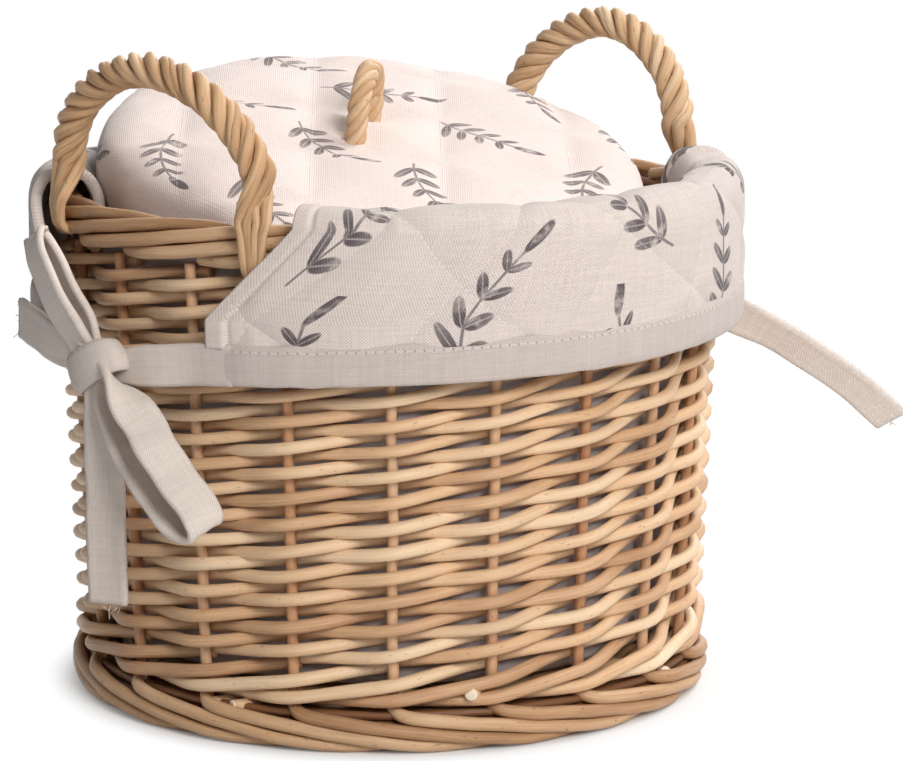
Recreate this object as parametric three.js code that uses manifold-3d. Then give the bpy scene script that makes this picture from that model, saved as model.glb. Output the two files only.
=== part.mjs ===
// Potato basket: a French-randed willow basket with two twisted handles, a quilted linen
// liner whose cuffs fold out over the border, tape ties under the handles and a padded lid.
// Millimetres, +Z up. The origin is on the floor under the basket's axis; the handles are
// on -X and +X and the front cuff faces -Y.
import * as THREE from 'three';
import * as BufferGeometryUtils from 'three/addons/utils/BufferGeometryUtils.js';
import Module from 'manifold-3d';

// Basket body
const RIM_TOP = 178;              // top of the rolled border
const STAKE_COUNT = 20;
const STAKE_RADIUS = 1.9;
const STAKE_RING_FOOT = 106.4;    // radius of the stake circle at floor level
const STAKE_RING_RIM = 113.6;     // radius of the stake circle at the rim's top
const ROD_RADIUS = 2.05;
const ROD_SIDES = 5;
const ROD_CLEARANCE = 0.25;       // between a rod and its neighbours
const FIT = 0.3;                  // between pieces that lie on each other

// Foot border and upsett wale
const FOOT_HEIGHT = 14;
const FOOT_WIDTH = 16;
const FOOT_SPREAD = 1;            // foot's middle outside the stake circle
const FOOT_FLAT = 4;              // lower part of the rolled section, trodden flat
const FOOT_STRANDS = 5;
const FOOT_LAY_TURNS = -4.4;      // turns of the strands in one trip round, down to the right
const WALE_ROUNDS = 3;
const WALE_STEP_UP = 3;           // stake intervals in which the wale climbs a round

// Rolled border at the rim
const BORDER_HEIGHT = 15.4;
const BORDER_WIDTH = 12.4;
const BORDER_STRANDS = 7;
const BORDER_LAY_TURNS = 8 / 7;

// Bottom
const BASE_GAP = 0.55;            // between the bottom's edge and the wall's inner rods
const BASE_THICKNESS = 8.6;
const BASE_UNDERSIDE = 9.8;       // height of the bottom's underside over the floor
const BASE_RIDGES = 5;
const BASE_RIDGE_DEPTH = 1.4;
const BASE_EDGE = 1.6;            // rounding of the bottom's edge
const BASE_STICK_RADIUS = 2.1;
const BASE_STICKS_EACH_WAY = 3;
const BASE_STICK_PITCH = 5;

// Twisted handles
const LEFT_HANDLE_SPAN = 97;      // between the centres of the two legs
const LEFT_HANDLE_RISE = 48;      // centre line's top over the border's top
const RIGHT_HANDLE_SPAN = 84;     // the right one is bent a little narrower
const RIGHT_HANDLE_RISE = 50;
const HANDLE_ROPE_RADIUS = 6.4;
const HANDLE_STRANDS = 4;
const HANDLE_LAY_TURNS = 4.5;
const HANDLE_OVERHANG = 7;        // top's place outside the legs
const HANDLE_INSET = 2.8;         // leg's centre inside the border's outer face
const HANDLE_POINT = 1.12;        // 1 is an oval arch; more is narrower at the top
const HANDLE_FOOT_DROP = 17;      // wrapped strands under the border's top
const HANDLE_FOOT_THICKNESS = 4.2;
const HANDLE_FOOT_WIDTH = 13.4;

// Quilted liner
const LINER_THICKNESS = 3.2;
const LINER_GAP = 0.5;            // between the bag and the wall's inner rods
const LINER_CORNER = 9;           // rounding between the bag's floor and its wall
const LINER_DROP = 8;             // bag's edge, where it meets the cuffs, under the border's top
const CUFF_THICKNESS = 3.4;
const CUFF_STANDOFF = 3.1;        // between the border and the hanging flap
const CUFF_FOOT_GAP = 1.1;        // between a handle's foot and the flap's end
const CUFF_HANDLE_GAP = 6.7;      // between a handle's leg and the cuff's fold
const CUFF_HEM_END = 17;          // degrees from the handle axis, at the hem
const CUFF_CORNER_DROP = 30;      // where the slanted end turns plumb, under the border's top
const CUFF_FOLD_LIFT = 3.4;       // loose height of the fold over the border
const CUFF_LOOSE_LIFT = 1.8;      // more of it at the far end
const CUFF_DROP_NEAR = 52;        // hem under the border's top at the near end
const CUFF_DROP_FAR = 44;         // hem under the border's top at the far end
const BINDING_WIDTH = 14;
const BINDING_THICKNESS = 4.4;

// Tape ties
const TAPE_WIDTH = 14;
const TAPE_THICKNESS = 1;
const TAPE_GAP = 0.65;            // between crossing tapes
const TAPE_STEP = 9;
const KNOT_ANGLE = 178;           // degrees round the rim from +X
const KNOT_DROP = 49;             // knot under the border's top
const BOW_LOOP_UP = 39;
const BOW_LOOP_DOWN = 51;
const BOW_TAIL = 83;              // hanging tail under the knot
const BOW_SHORT_TAIL = 10;        // upturned tail over the knot

// Padded lid
const LID_GAP = 4.9;              // between the lid and the bag's inside
const LID_CROWN = 18.2;           // crown over the seam plane
const LID_DEPTH = 20;             // under the seam plane
const LID_FULLNESS = 4.2;         // exponent of the cushion's outline; 2 is an ellipse
const LID_TILT = 13.6;            // degrees about the handle axis, back edge up
const LID_ROLL = -5.4;            // degrees along the handle axis, right side up
const LID_SEAT_SINK = 0.6;        // share of the soft edge that rolls down behind the back cuff
const LID_EDGE_SLOPE = 0.86;      // slope of the rounded edge where it meets the back cuff
const LID_BACK_SHIFT = 9.1;
const LID_SIDE_SHIFT = 1;         // toward the right handle
const LID_QUILT_PITCH = 46;       // between parallel rows of quilting
const LID_QUILT_DEPTH = 2.4;
const LID_QUILT_SOFTNESS = 7;
const LID_EDGE_WIDTH = 14.5;      // soft edge outside the core
const LID_SIDES = 44;
const LID_CORE_THICKNESS = 5;
const LID_CLOTH_THICKNESS = 1.2;
const LOOP_SPAN = 27;
const LOOP_RISE = 22;
const LOOP_ROPE_RADIUS = 4.1;
const LOOP_STRANDS = 4;
const LOOP_LAY_TURNS = 1.5;
const LOOP_TURN = 33;             // degrees from the handle axis
const LOOP_BACK_SHIFT = 7;        // from the lid's middle

const DEG = Math.PI / 180;
const UP = new THREE.Vector3(0, 0, 1);

const WILLOW = { color: 0xc8a573, roughness: 0.55, metalness: 0 };
const STRAW = { color: 0xd9c9a2, roughness: 0.65, metalness: 0 };
const LINEN = { color: 0xd7d0c8, roughness: 0.95, metalness: 0 };
const BINDING = { color: 0xcdc8c3, roughness: 0.95, metalness: 0 };
const LID_CLOTH = { color: 0xf0e6e4, roughness: 0.95, metalness: 0 };
const BOARD = { color: 0xb89a6c, roughness: 0.7, metalness: 0 };

const wasm = await Module();
wasm.setup();

const basket = new THREE.Group();

function addPiece(parent, name, geometry, look) {
  const mesh = new THREE.Mesh(geometry, new THREE.MeshStandardMaterial(look));
  mesh.name = name;
  parent.add(mesh);
  return mesh;
}

function polar(radius, degrees, z) {
  return new THREE.Vector3(radius * Math.cos(degrees * DEG), radius * Math.sin(degrees * DEG), z);
}

function mix(a, b, t) {
  return a + (b - a) * t;
}

function smooth(t) {
  const c = Math.min(1, Math.max(0, t));
  return c * c * (3 - 2 * c);
}

// Indexed triangles with their faces turned outward.
function solidFrom(points, triangles) {
  const positions = points.flatMap((p) => [p.x, p.y, p.z]);
  const geometry = new THREE.BufferGeometry();
  geometry.setAttribute('position', new THREE.Float32BufferAttribute(positions, 3));
  let volume = 0;
  for (const [a, b, c] of triangles) {
    volume += points[a].dot(points[b].clone().cross(points[c]));
  }
  const outward = volume > 0 ? triangles : triangles.map(([a, b, c]) => [a, c, b]);
  geometry.setIndex(outward.flat());
  geometry.computeVertexNormals();
  return geometry;
}

// Skin over rings of equal point counts, closed on itself or capped at both ends.
function skin(rings, closed) {
  const count = rings[0].length;
  const points = rings.flat();
  const triangles = [];
  const spans = closed ? rings.length : rings.length - 1;
  for (let i = 0; i < spans; i += 1) {
    const a = i * count;
    const b = ((i + 1) % rings.length) * count;
    for (let k = 0; k < count; k += 1) {
      const n = (k + 1) % count;
      triangles.push([a + k, b + k, b + n], [a + k, b + n, a + n]);
    }
  }
  if (!closed) {
    for (const [ring, start, flip] of [[rings[0], 0, true],
      [rings[rings.length - 1], (rings.length - 1) * count, false]]) {
      const middle = new THREE.Vector3();
      ring.forEach((p) => middle.addScaledVector(p, 1 / count));
      const hub = points.push(middle) - 1;
      for (let k = 0; k < count; k += 1) {
        const n = (k + 1) % count;
        triangles.push(flip ? [hub, start + k, start + n] : [hub, start + n, start + k]);
      }
    }
  }
  return solidFrom(points, triangles);
}

// Rings of a section along a path. reference(i) is square to the tape or rod's face;
// section(i) gives [across, along reference] pairs.
function sweepRings(path, reference, section) {
  return path.map((p, i) => {
    const before = path[Math.max(0, i - 1)];
    const after = path[Math.min(path.length - 1, i + 1)];
    const tangent = after.clone().sub(before).normalize();
    const across = new THREE.Vector3().crossVectors(reference(i), tangent).normalize();
    const normal = new THREE.Vector3().crossVectors(tangent, across);
    return section(i).map(([u, v]) => p.clone().addScaledVector(across, u).addScaledVector(normal, v));
  });
}

function roundSection(radius, sides) {
  return Array.from({ length: sides }, (_, k) => {
    const a = (2 * Math.PI * k) / sides + Math.PI / 2;
    return [radius * Math.cos(a), radius * Math.sin(a)];
  });
}

// Twisted strands: lobes on an oval outline, turned by the lay.
function strandSection(halfWidth, halfHeight, strands, perStrand, groove, turn) {
  return Array.from({ length: strands * perStrand }, (_, k) => {
    const a = (2 * Math.PI * k) / (strands * perStrand) + turn;
    const hollow = k % perStrand === 0 ? groove : 0;
    return [(halfWidth - hollow) * Math.cos(a), (halfHeight - hollow) * Math.sin(a)];
  });
}

function toManifold(geometry) {
  const bare = geometry.clone();
  bare.deleteAttribute('normal');
  bare.deleteAttribute('uv');
  const merged = BufferGeometryUtils.mergeVertices(bare, 1e-4);
  return new wasm.Manifold(new wasm.Mesh({
    numProp: 3,
    vertProperties: new Float32Array(merged.attributes.position.array),
    triVerts: new Uint32Array(merged.index.array),
  }));
}

function fromManifold(solid) {
  const mesh = solid.getMesh();
  const geometry = new THREE.BufferGeometry();
  geometry.setAttribute('position', new THREE.BufferAttribute(new Float32Array(mesh.vertProperties), 3));
  geometry.setIndex(new THREE.BufferAttribute(new Uint32Array(mesh.triVerts), 1));
  geometry.computeVertexNormals();
  return geometry;
}

// A thin closed solid on both sides of the surface at(u, v), with u and v from 0 to 1.
function sheetSolid(at, uSteps, vSteps, thickness) {
  const step = 1e-3;
  const faces = [[], []];
  for (let i = 0; i <= uSteps; i += 1) {
    for (let j = 0; j <= vSteps; j += 1) {
      const u = i / uSteps;
      const v = j / vSteps;
      const du = at(Math.min(1, u + step), v).sub(at(Math.max(0, u - step), v));
      const dv = at(u, Math.min(1, v + step)).sub(at(u, Math.max(0, v - step)));
      const normal = du.cross(dv).normalize();
      const p = at(u, v);
      faces[0].push(p.clone().addScaledVector(normal, thickness / 2));
      faces[1].push(p.clone().addScaledVector(normal, -thickness / 2));
    }
  }
  const row = vSteps + 1;
  const back = faces[0].length;
  const triangles = [];
  const quad = (a, b, c, d) => triangles.push([a, b, c], [a, c, d]);
  for (let i = 0; i < uSteps; i += 1) {
    for (let j = 0; j < vSteps; j += 1) {
      const a = i * row + j;
      quad(a, a + row, a + row + 1, a + 1);
      quad(back + a, back + a + 1, back + a + row + 1, back + a + row);
    }
  }
  for (let i = 0; i < uSteps; i += 1) {
    const low = i * row;
    const high = i * row + vSteps;
    quad(low, back + low, back + low + row, low + row);
    quad(high, high + row, back + high + row, back + high);
  }
  for (let j = 0; j < vSteps; j += 1) {
    const end = uSteps * row + j;
    quad(j, j + 1, back + j + 1, back + j);
    quad(end, back + end, back + end + 1, end + 1);
  }
  return solidFrom([...faces[0], ...faces[1]], triangles);
}

// The wall leans out from foot to rim.
function stakeRing(z) {
  return mix(STAKE_RING_FOOT, STAKE_RING_RIM, z / RIM_TOP);
}

const interval = 360 / STAKE_COUNT;
function stakeAngle(k) {
  return (k + 0.5) * interval;
}

// A rod bent round the stakes leaves them at this angle to the ring's tangent.
const touch = STAKE_RADIUS + ROD_RADIUS + ROD_CLEARANCE;
const chord = 2 * Math.sin((interval / 2) * DEG) * STAKE_RING_RIM;
const ROD_OUT = touch / Math.cos((interval / 2) * DEG + Math.atan((2 * touch) / chord));
const ROD_IN = touch;
const PITCH = 2 * ROD_RADIUS + ROD_CLEARANCE;
const borderOuter = STAKE_RING_RIM + BORDER_WIDTH / 2;

// Upright stakes, from the foot border to the underside of the rolled border
const waleBottom = FOOT_HEIGHT + FIT;
const borderBottom = RIM_TOP - BORDER_HEIGHT;
const STAKE_SIDES = 6;
for (let k = 0; k < STAKE_COUNT; k += 1) {
  const ends = [FOOT_HEIGHT + FIT, borderBottom - FIT];
  const rings = ends.map((z) => roundSection(STAKE_RADIUS, STAKE_SIDES).map(([u, v]) => {
    const centre = polar(stakeRing(z), stakeAngle(k), z);
    return centre.add(new THREE.Vector3(u, v, 0));
  }));
  addPiece(basket, `stake_${String(k + 1).padStart(2, '0')}`, skin(rings, false), WILLOW);
}

function rodSolid(path) {
  return skin(sweepRings(path, () => UP, () => roundSection(ROD_RADIUS, ROD_SIDES)), false);
}

// Upsett wale: one rod laid in front of two stakes and behind one, round after round, which
// climbs to its next round in a step-up at the back.
{
  const path = [];
  const first = Math.round(STAKE_COUNT / 4);
  for (let i = 0; i < WALE_ROUNDS * STAKE_COUNT - 1; i += 1) {
    const place = i % STAKE_COUNT;
    const climb = smooth((place - (STAKE_COUNT - WALE_STEP_UP)) / WALE_STEP_UP);
    const z = waleBottom + ROD_RADIUS + PITCH * (Math.floor(i / STAKE_COUNT) + climb);
    const offset = i % 3 === 2 ? -ROD_IN : ROD_OUT;
    path.push(polar(stakeRing(z) + offset, stakeAngle(first + i), z));
  }
  addPiece(basket, 'upsett_wale', rodSolid(path), WILLOW);
}

// French randing: every rod starts behind its own stake, passes in front of the next, and
// climbs one pitch from stake to stake, so all the stakes carry the same courses.
{
  const randBottom = waleBottom + WALE_ROUNDS * PITCH + ROD_RADIUS + ROD_CLEARANCE;
  const randTop = borderBottom - FIT - ROD_RADIUS;
  const passes = 2 * Math.floor((randTop - randBottom) / PITCH / 2) + 1;
  const course = (randTop - randBottom) / (passes - 1);
  const tail = 0.16;
  const wave = (s) => (s % 2 === 0 ? -ROD_IN : ROD_OUT);
  for (let rod = 0; rod < STAKE_COUNT; rod += 1) {
    const path = [];
    const push = (s, z, offset) => path.push(polar(stakeRing(z) + offset, stakeAngle(rod + s), z));
    push(-tail, randBottom, -ROD_IN);
    for (let s = 0; s < passes; s += 1) {
      push(s, randBottom + course * s, wave(s));
    }
    push(passes - 1 + tail, randTop, -ROD_IN);
    addPiece(basket, `rand_rod_${String(rod + 1).padStart(2, '0')}`, rodSolid(path), WILLOW);
  }
}

// A ring of laid strands about the basket's axis, flat where it meets the floor.
function strandRing(radius, z, halfWidth, halfHeight, strands, layTurns, ringCount, groove) {
  const rings = [];
  const turns = Math.round(layTurns * strands) / strands;
  for (let i = 0; i < ringCount; i += 1) {
    const t = i / ringCount;
    const section = strandSection(halfWidth, halfHeight, strands, 2, groove, t * turns * 2 * Math.PI);
    rings.push(section.map(([u, v]) => polar(radius + u, 360 * t, Math.max(0, z + v))));
  }
  // The last ring meets the first with the strands moved on, so its points are renumbered.
  const count = strands * 2;
  const moved = (Math.round(turns * strands) * 2) % count;
  const shift = (moved + count) % count;
  const last = rings[0].map((_, k) => rings[0][(k + shift) % count]);
  return skinLoop(rings, last);
}

function skinLoop(rings, last) {
  const count = rings[0].length;
  const first = rings[0];
  const order = last.map((p) => first.indexOf(p));
  const points = rings.flat();
  const triangles = [];
  for (let i = 0; i < rings.length; i += 1) {
    const a = i * count;
    const at = (k) => (i + 1 < rings.length ? a + count + k : order[k]);
    for (let k = 0; k < count; k += 1) {
      const n = (k + 1) % count;
      triangles.push([a + k, at(k), at(n)], [a + k, at(n), a + n]);
    }
  }
  return solidFrom(points, triangles);
}

const FOOT_GROOVE = 0.9;
const FOOT_RINGS = 44;
addPiece(basket, 'foot_border', strandRing(
  STAKE_RING_FOOT + FOOT_SPREAD,
  FOOT_HEIGHT / 2 - FOOT_FLAT / 2,
  FOOT_WIDTH / 2,
  FOOT_HEIGHT / 2 + FOOT_FLAT / 2,
  FOOT_STRANDS,
  FOOT_LAY_TURNS,
  FOOT_RINGS,
  FOOT_GROOVE,
), WILLOW);

const BORDER_GROOVE = 0.9;
const BORDER_RINGS = 36;
addPiece(basket, 'rim_border', strandRing(
  STAKE_RING_RIM,
  RIM_TOP - BORDER_HEIGHT / 2,
  BORDER_WIDTH / 2,
  BORDER_HEIGHT / 2,
  BORDER_STRANDS,
  BORDER_LAY_TURNS,
  BORDER_RINGS,
  BORDER_GROOVE,
), WILLOW);

// Bottom: sticks crossed both ways, and the woven round that holds them
{
  const baseRadius = STAKE_RING_FOOT - ROD_IN - ROD_RADIUS - BASE_GAP;
  const stickHeight = BASE_UNDERSIDE + BASE_THICKNESS / 2;
  const stickBar = (radius, reach, across, turn) => {
    const bar = new THREE.CylinderGeometry(radius, radius, 2 * reach, 6);
    bar.rotateZ(Math.PI / 2);
    bar.translate(0, across, stickHeight);
    bar.rotateZ(turn);
    return toManifold(bar);
  };
  const star = (radius, margin) => {
    let solid = null;
    for (const turn of [0, Math.PI / 2]) {
      for (let i = 0; i < BASE_STICKS_EACH_WAY; i += 1) {
        const across = (i - (BASE_STICKS_EACH_WAY - 1) / 2) * BASE_STICK_PITCH;
        const reach = Math.sqrt((baseRadius - BASE_STICK_RADIUS) ** 2 - across ** 2) + margin;
        const bar = stickBar(radius, reach, across, turn);
        solid = solid === null ? bar : solid.add(bar);
      }
    }
    return solid;
  };
  addPiece(basket, 'base_sticks', fromManifold(star(BASE_STICK_RADIUS, 0)), WILLOW);

  const profile = [new THREE.Vector2(0, BASE_UNDERSIDE)];
  for (let i = 0; i < BASE_RIDGES; i += 1) {
    const inner = (baseRadius * (i + 0.5)) / BASE_RIDGES;
    const outer = (baseRadius * (i + 1)) / BASE_RIDGES;
    const hollow = i + 1 < BASE_RIDGES ? BASE_RIDGE_DEPTH : BASE_EDGE;
    profile.push(new THREE.Vector2(inner, BASE_UNDERSIDE));
    profile.push(new THREE.Vector2(outer, BASE_UNDERSIDE + hollow));
  }
  const top = BASE_UNDERSIDE + BASE_THICKNESS;
  profile.push(new THREE.Vector2(baseRadius, top - BASE_EDGE));
  profile.push(new THREE.Vector2(baseRadius - BASE_EDGE, top));
  profile.push(new THREE.Vector2(0, top));
  const round = new THREE.LatheGeometry(profile, 30);
  round.rotateX(Math.PI / 2);
  const tunnels = star(BASE_STICK_RADIUS + FIT, 6 * BASE_STICK_RADIUS);
  addPiece(basket, 'base_weave', fromManifold(toManifold(round).subtract(tunnels)), WILLOW);
}

// Handles: four strands twisted into an arch. At each foot the strands open out, pass over
// the border and lie down its outside.
function handleSolid(span, crest) {
  const stepsPerStrand = 4;
  const arch = Math.round(HANDLE_LAY_TURNS * HANDLE_STRANDS * stepsPerStrand);
  const footSteps = 4;
  const half = span / 2;
  const legRadius = borderOuter - HANDLE_INSET;
  const legX = Math.sqrt(legRadius ** 2 - half ** 2);
  const wrapRadius = borderOuter + 2 * FIT + HANDLE_FOOT_THICKNESS / 2;
  const wrapX = Math.sqrt(wrapRadius ** 2 - half ** 2);
  const legFoot = RIM_TOP + HANDLE_ROPE_RADIUS * 0.9;
  const rise = crest - (legFoot - RIM_TOP);
  const path = [];
  const shape = [];
  const bendStart = RIM_TOP - 0.7 * HANDLE_FOOT_THICKNESS;
  const bendEnd = legFoot - 0.5 * HANDLE_FOOT_THICKNESS;
  const foot = (side, t) => {
    const z = mix(RIM_TOP - HANDLE_FOOT_DROP, bendEnd, t);
    const over = smooth((z - bendStart) / (bendEnd - bendStart));
    path.push(new THREE.Vector3(mix(wrapX, legX + HANDLE_INSET / 2, over), side * half, z));
    shape.push(over * 0.7);
  };
  for (let i = 0; i < footSteps; i += 1) {
    foot(-1, i / (footSteps - 1));
  }
  for (let i = 0; i <= arch; i += 1) {
    const a = Math.PI * (i / arch);
    const z = legFoot + rise * Math.sin(a) ** 0.9;
    const reach = Math.sign(Math.cos(a)) * Math.abs(Math.cos(a)) ** HANDLE_POINT;
    path.push(new THREE.Vector3(legX + HANDLE_OVERHANG * Math.sin(a), -half * reach, z));
    shape.push(1);
  }
  for (let i = footSteps - 1; i >= 0; i -= 1) {
    foot(1, i / (footSteps - 1));
  }
  const outward = (i) => new THREE.Vector3(path[i].x, path[i].y, 0);
  const section = (i) => {
    const along = Math.min(arch, Math.max(0, i - footSteps)) / arch;
    const turn = along * HANDLE_LAY_TURNS * 2 * Math.PI;
    const groove = HANDLE_ROPE_RADIUS * (0.05 + 0.2 * shape[i]);
    const width = mix(HANDLE_FOOT_WIDTH / 2, HANDLE_ROPE_RADIUS, shape[i]);
    const depth = mix(HANDLE_FOOT_THICKNESS / 2, HANDLE_ROPE_RADIUS, shape[i]);
    return strandSection(width, depth, HANDLE_STRANDS, 2, groove, turn);
  };
  return skin(sweepRings(path, outward, section), false);
}
for (const [name, turn, span, crest] of [
  ['handle_right', 0, RIGHT_HANDLE_SPAN, RIGHT_HANDLE_RISE],
  ['handle_left', Math.PI, LEFT_HANDLE_SPAN, LEFT_HANDLE_RISE],
]) {
  const handle = new THREE.Group();
  handle.rotation.z = turn;
  addPiece(handle, name, handleSolid(span, crest), STRAW);
  basket.add(handle);
}

// Liner: a quilted bag that stands on the bottom and hangs from its cuffs
const liner = new THREE.Group();
basket.add(liner);
const linerTop = RIM_TOP - LINER_DROP;
const borderInner = STAKE_RING_RIM - BORDER_WIDTH / 2;
const bagOuter = (z) => Math.min(stakeRing(z) - ROD_IN - ROD_RADIUS, borderInner) - LINER_GAP;
{
  const floor = BASE_UNDERSIDE + BASE_THICKNESS + FIT;
  const t = LINER_THICKNESS;
  const round = LINER_CORNER;
  const low = bagOuter(floor);
  const profile = [
    new THREE.Vector2(0, floor),
    new THREE.Vector2(low - round, floor),
    new THREE.Vector2(low - round * 0.3, floor + round * 0.3),
    new THREE.Vector2(bagOuter(floor + round), floor + round),
    new THREE.Vector2(bagOuter(linerTop), linerTop),
    new THREE.Vector2(bagOuter(linerTop) - t, linerTop),
    new THREE.Vector2(bagOuter(floor + round) - t, floor + round),
    new THREE.Vector2(low - round * 0.3 - t, floor + round * 0.3 + t * 0.7),
    new THREE.Vector2(low - round - t * 0.4, floor + t),
    new THREE.Vector2(0, floor + t),
  ];
  const bag = new THREE.LatheGeometry(profile, 32);
  bag.rotateX(Math.PI / 2);
  addPiece(liner, 'liner_bag', bag, LINEN);
}

const flapRadius = borderOuter + CUFF_STANDOFF + CUFF_THICKNESS / 2;
const flapEndRadius = borderOuter + 2 * FIT + HANDLE_FOOT_THICKNESS + CUFF_FOOT_GAP + CUFF_THICKNESS / 2;

// A cuff's cloth from the bag's edge, over the border and down outside, to the hem.
// end is 0 at the near end and 1 at the far end; drop is 0 at the bag and 1 at the hem.
function cuffPoint(end, drop, hemLine) {
  const inner = bagOuter(linerTop) - LINER_THICKNESS / 2;
  const lift = CUFF_FOLD_LIFT + CUFF_LOOSE_LIFT * end;
  const cloth = CUFF_THICKNESS;
  const crest = RIM_TOP + cloth / 2 + lift;
  const corner = smooth(1.1 - Math.min(end, 1 - end) / 0.2);
  const flap = mix(flapRadius, flapEndRadius, corner);
  const shoulder = RIM_TOP - 0.78 * BORDER_HEIGHT;
  const line = new THREE.CatmullRomCurve3([
    new THREE.Vector3(inner, 0, linerTop + FIT),
    new THREE.Vector3(inner, 0, RIM_TOP - 0.45 * cloth),
    new THREE.Vector3(inner + 1.05 * cloth, 0, crest - 0.47 * cloth),
    new THREE.Vector3(STAKE_RING_RIM, 0, crest),
    new THREE.Vector3(flap - 1.47 * cloth, 0, crest - 0.24 * cloth),
    new THREE.Vector3(flap - 0.3 * cloth, 0, RIM_TOP - 0.3 * cloth),
    new THREE.Vector3(flap, 0, shoulder),
    new THREE.Vector3(flap + 0.12 * cloth, 0, mix(shoulder, hemLine, 0.5)),
    new THREE.Vector3(flap, 0, hemLine),
  ], false, 'centripetal');
  return line.getPoint(drop);
}

function hemHeight(end) {
  return RIM_TOP - mix(CUFF_DROP_NEAR, CUFF_DROP_FAR, end);
}

// Degrees from the handle axis to the end of the fold, beside the wider handle.
const legReach = Math.max(LEFT_HANDLE_SPAN, RIGHT_HANDLE_SPAN) / 2 + HANDLE_ROPE_RADIUS;
const foldEnd = (Math.asin(legReach / borderOuter) + CUFF_HANDLE_GAP / borderOuter) / DEG;

// Half-angle of the cuff at a height, cut on a slant beside the handles.
function cuffHalfAngle(z) {
  const slant = THREE.MathUtils.clamp((RIM_TOP - z) / CUFF_CORNER_DROP, 0, 1);
  return 90 - mix(foldEnd, CUFF_HEM_END, slant);
}

function placeOnCuff(end, radius, z, slantAt) {
  const halfAngle = cuffHalfAngle(slantAt);
  return polar(radius, -90 + mix(-halfAngle, halfAngle, end), z);
}

function cuffSurface(end, drop) {
  const p = cuffPoint(end, drop, hemHeight(end) + BINDING_WIDTH + FIT);
  const outside = drop > 0.45 ? p.z : RIM_TOP;
  return placeOnCuff(end, p.x, p.z, outside);
}

function bindingSurface(end, across) {
  const top = hemHeight(end) + BINDING_WIDTH;
  const p = cuffPoint(end, 1, top);
  return placeOnCuff(end, p.x, top - across * BINDING_WIDTH, hemHeight(0));
}

const CUFF_STEPS = 18;
const CUFF_ROWS = 9;
for (const [side, turn] of [['front', 0], ['back', Math.PI]]) {
  const flap = new THREE.Group();
  flap.rotation.z = turn;
  addPiece(flap, `cuff_${side}`, sheetSolid(cuffSurface, CUFF_STEPS, CUFF_ROWS, CUFF_THICKNESS), LINEN);
  addPiece(flap, `binding_${side}`, sheetSolid(bindingSurface, CUFF_STEPS, 1, BINDING_THICKNESS), BINDING);
  liner.add(flap);
}

// Tapes tied in a bow under each handle. Each runs from its cuff to the knot, out into a
// loop, back through the knot and out as a tail. Stops are [degrees, height, layer].
const tapeRadius = flapEndRadius + BINDING_THICKNESS / 2 + 2 * FIT + TAPE_THICKNESS / 2;
const tapeLayer = TAPE_THICKNESS + TAPE_GAP;
function tapeSolid(stops) {
  const stations = stops.map(([degrees, z, layer]) => polar(tapeRadius + layer * tapeLayer, degrees, z));
  const curve = new THREE.CatmullRomCurve3(stations, false, 'centripetal');
  const steps = Math.round(curve.getLength() / TAPE_STEP);
  const path = Array.from({ length: steps + 1 }, (_, i) => curve.getPointAt(i / steps));
  const w = TAPE_WIDTH / 2;
  const h = TAPE_THICKNESS / 2;
  const radial = (i) => new THREE.Vector3(path[i].x, path[i].y, 0).normalize();
  const section = () => [[-w, -h], [w, -h], [w, h], [-w, h]];
  return skin(sweepRings(path, radial, section), false);
}

const knot = RIM_TOP - KNOT_DROP;
const nearHem = hemHeight(0) + 0.5 * BINDING_WIDTH;
const farHem = hemHeight(1) + 0.5 * BINDING_WIDTH;
const nearEnd = 180 + CUFF_HEM_END + 1;
const farEnd = 180 - CUFF_HEM_END - 1;
const fromFrontCuff = [
  [nearEnd, nearHem, 0],
  [mix(nearEnd, KNOT_ANGLE, 0.48), mix(nearHem, knot, 0.3), 0],
  [KNOT_ANGLE, knot, 0],
  [KNOT_ANGLE - 7, knot + 0.51 * BOW_LOOP_UP, 0.2],
  [KNOT_ANGLE - 14, knot + BOW_LOOP_UP, 0.4],
  [KNOT_ANGLE - 11, knot + 0.78 * BOW_LOOP_UP, 2.2],
  [KNOT_ANGLE - 1, knot + 0.08 * BOW_LOOP_UP, 2],
  [KNOT_ANGLE + 1, knot - 0.2 * BOW_TAIL, 2],
  [KNOT_ANGLE + 1, knot - 0.59 * BOW_TAIL, 1.2],
  [KNOT_ANGLE + 1, knot - BOW_TAIL, 0.4],
];
const fromBackCuff = [
  [farEnd, farHem, 1],
  [mix(farEnd, KNOT_ANGLE, 0.45), mix(farHem, knot, 0.4), 1],
  [KNOT_ANGLE, knot, 1],
  [KNOT_ANGLE + 8, knot - 0.5 * BOW_LOOP_DOWN, 1],
  [KNOT_ANGLE + 18, knot - BOW_LOOP_DOWN, 1],
  [KNOT_ANGLE + 20, knot - 0.76 * BOW_LOOP_DOWN, 3],
  [KNOT_ANGLE + 2, knot - 0.04 * BOW_LOOP_DOWN, 3.4],
  [KNOT_ANGLE - 11, knot + 0.5 * BOW_SHORT_TAIL, 3],
  [KNOT_ANGLE - 20, knot + BOW_SHORT_TAIL, 3],
];
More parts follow.
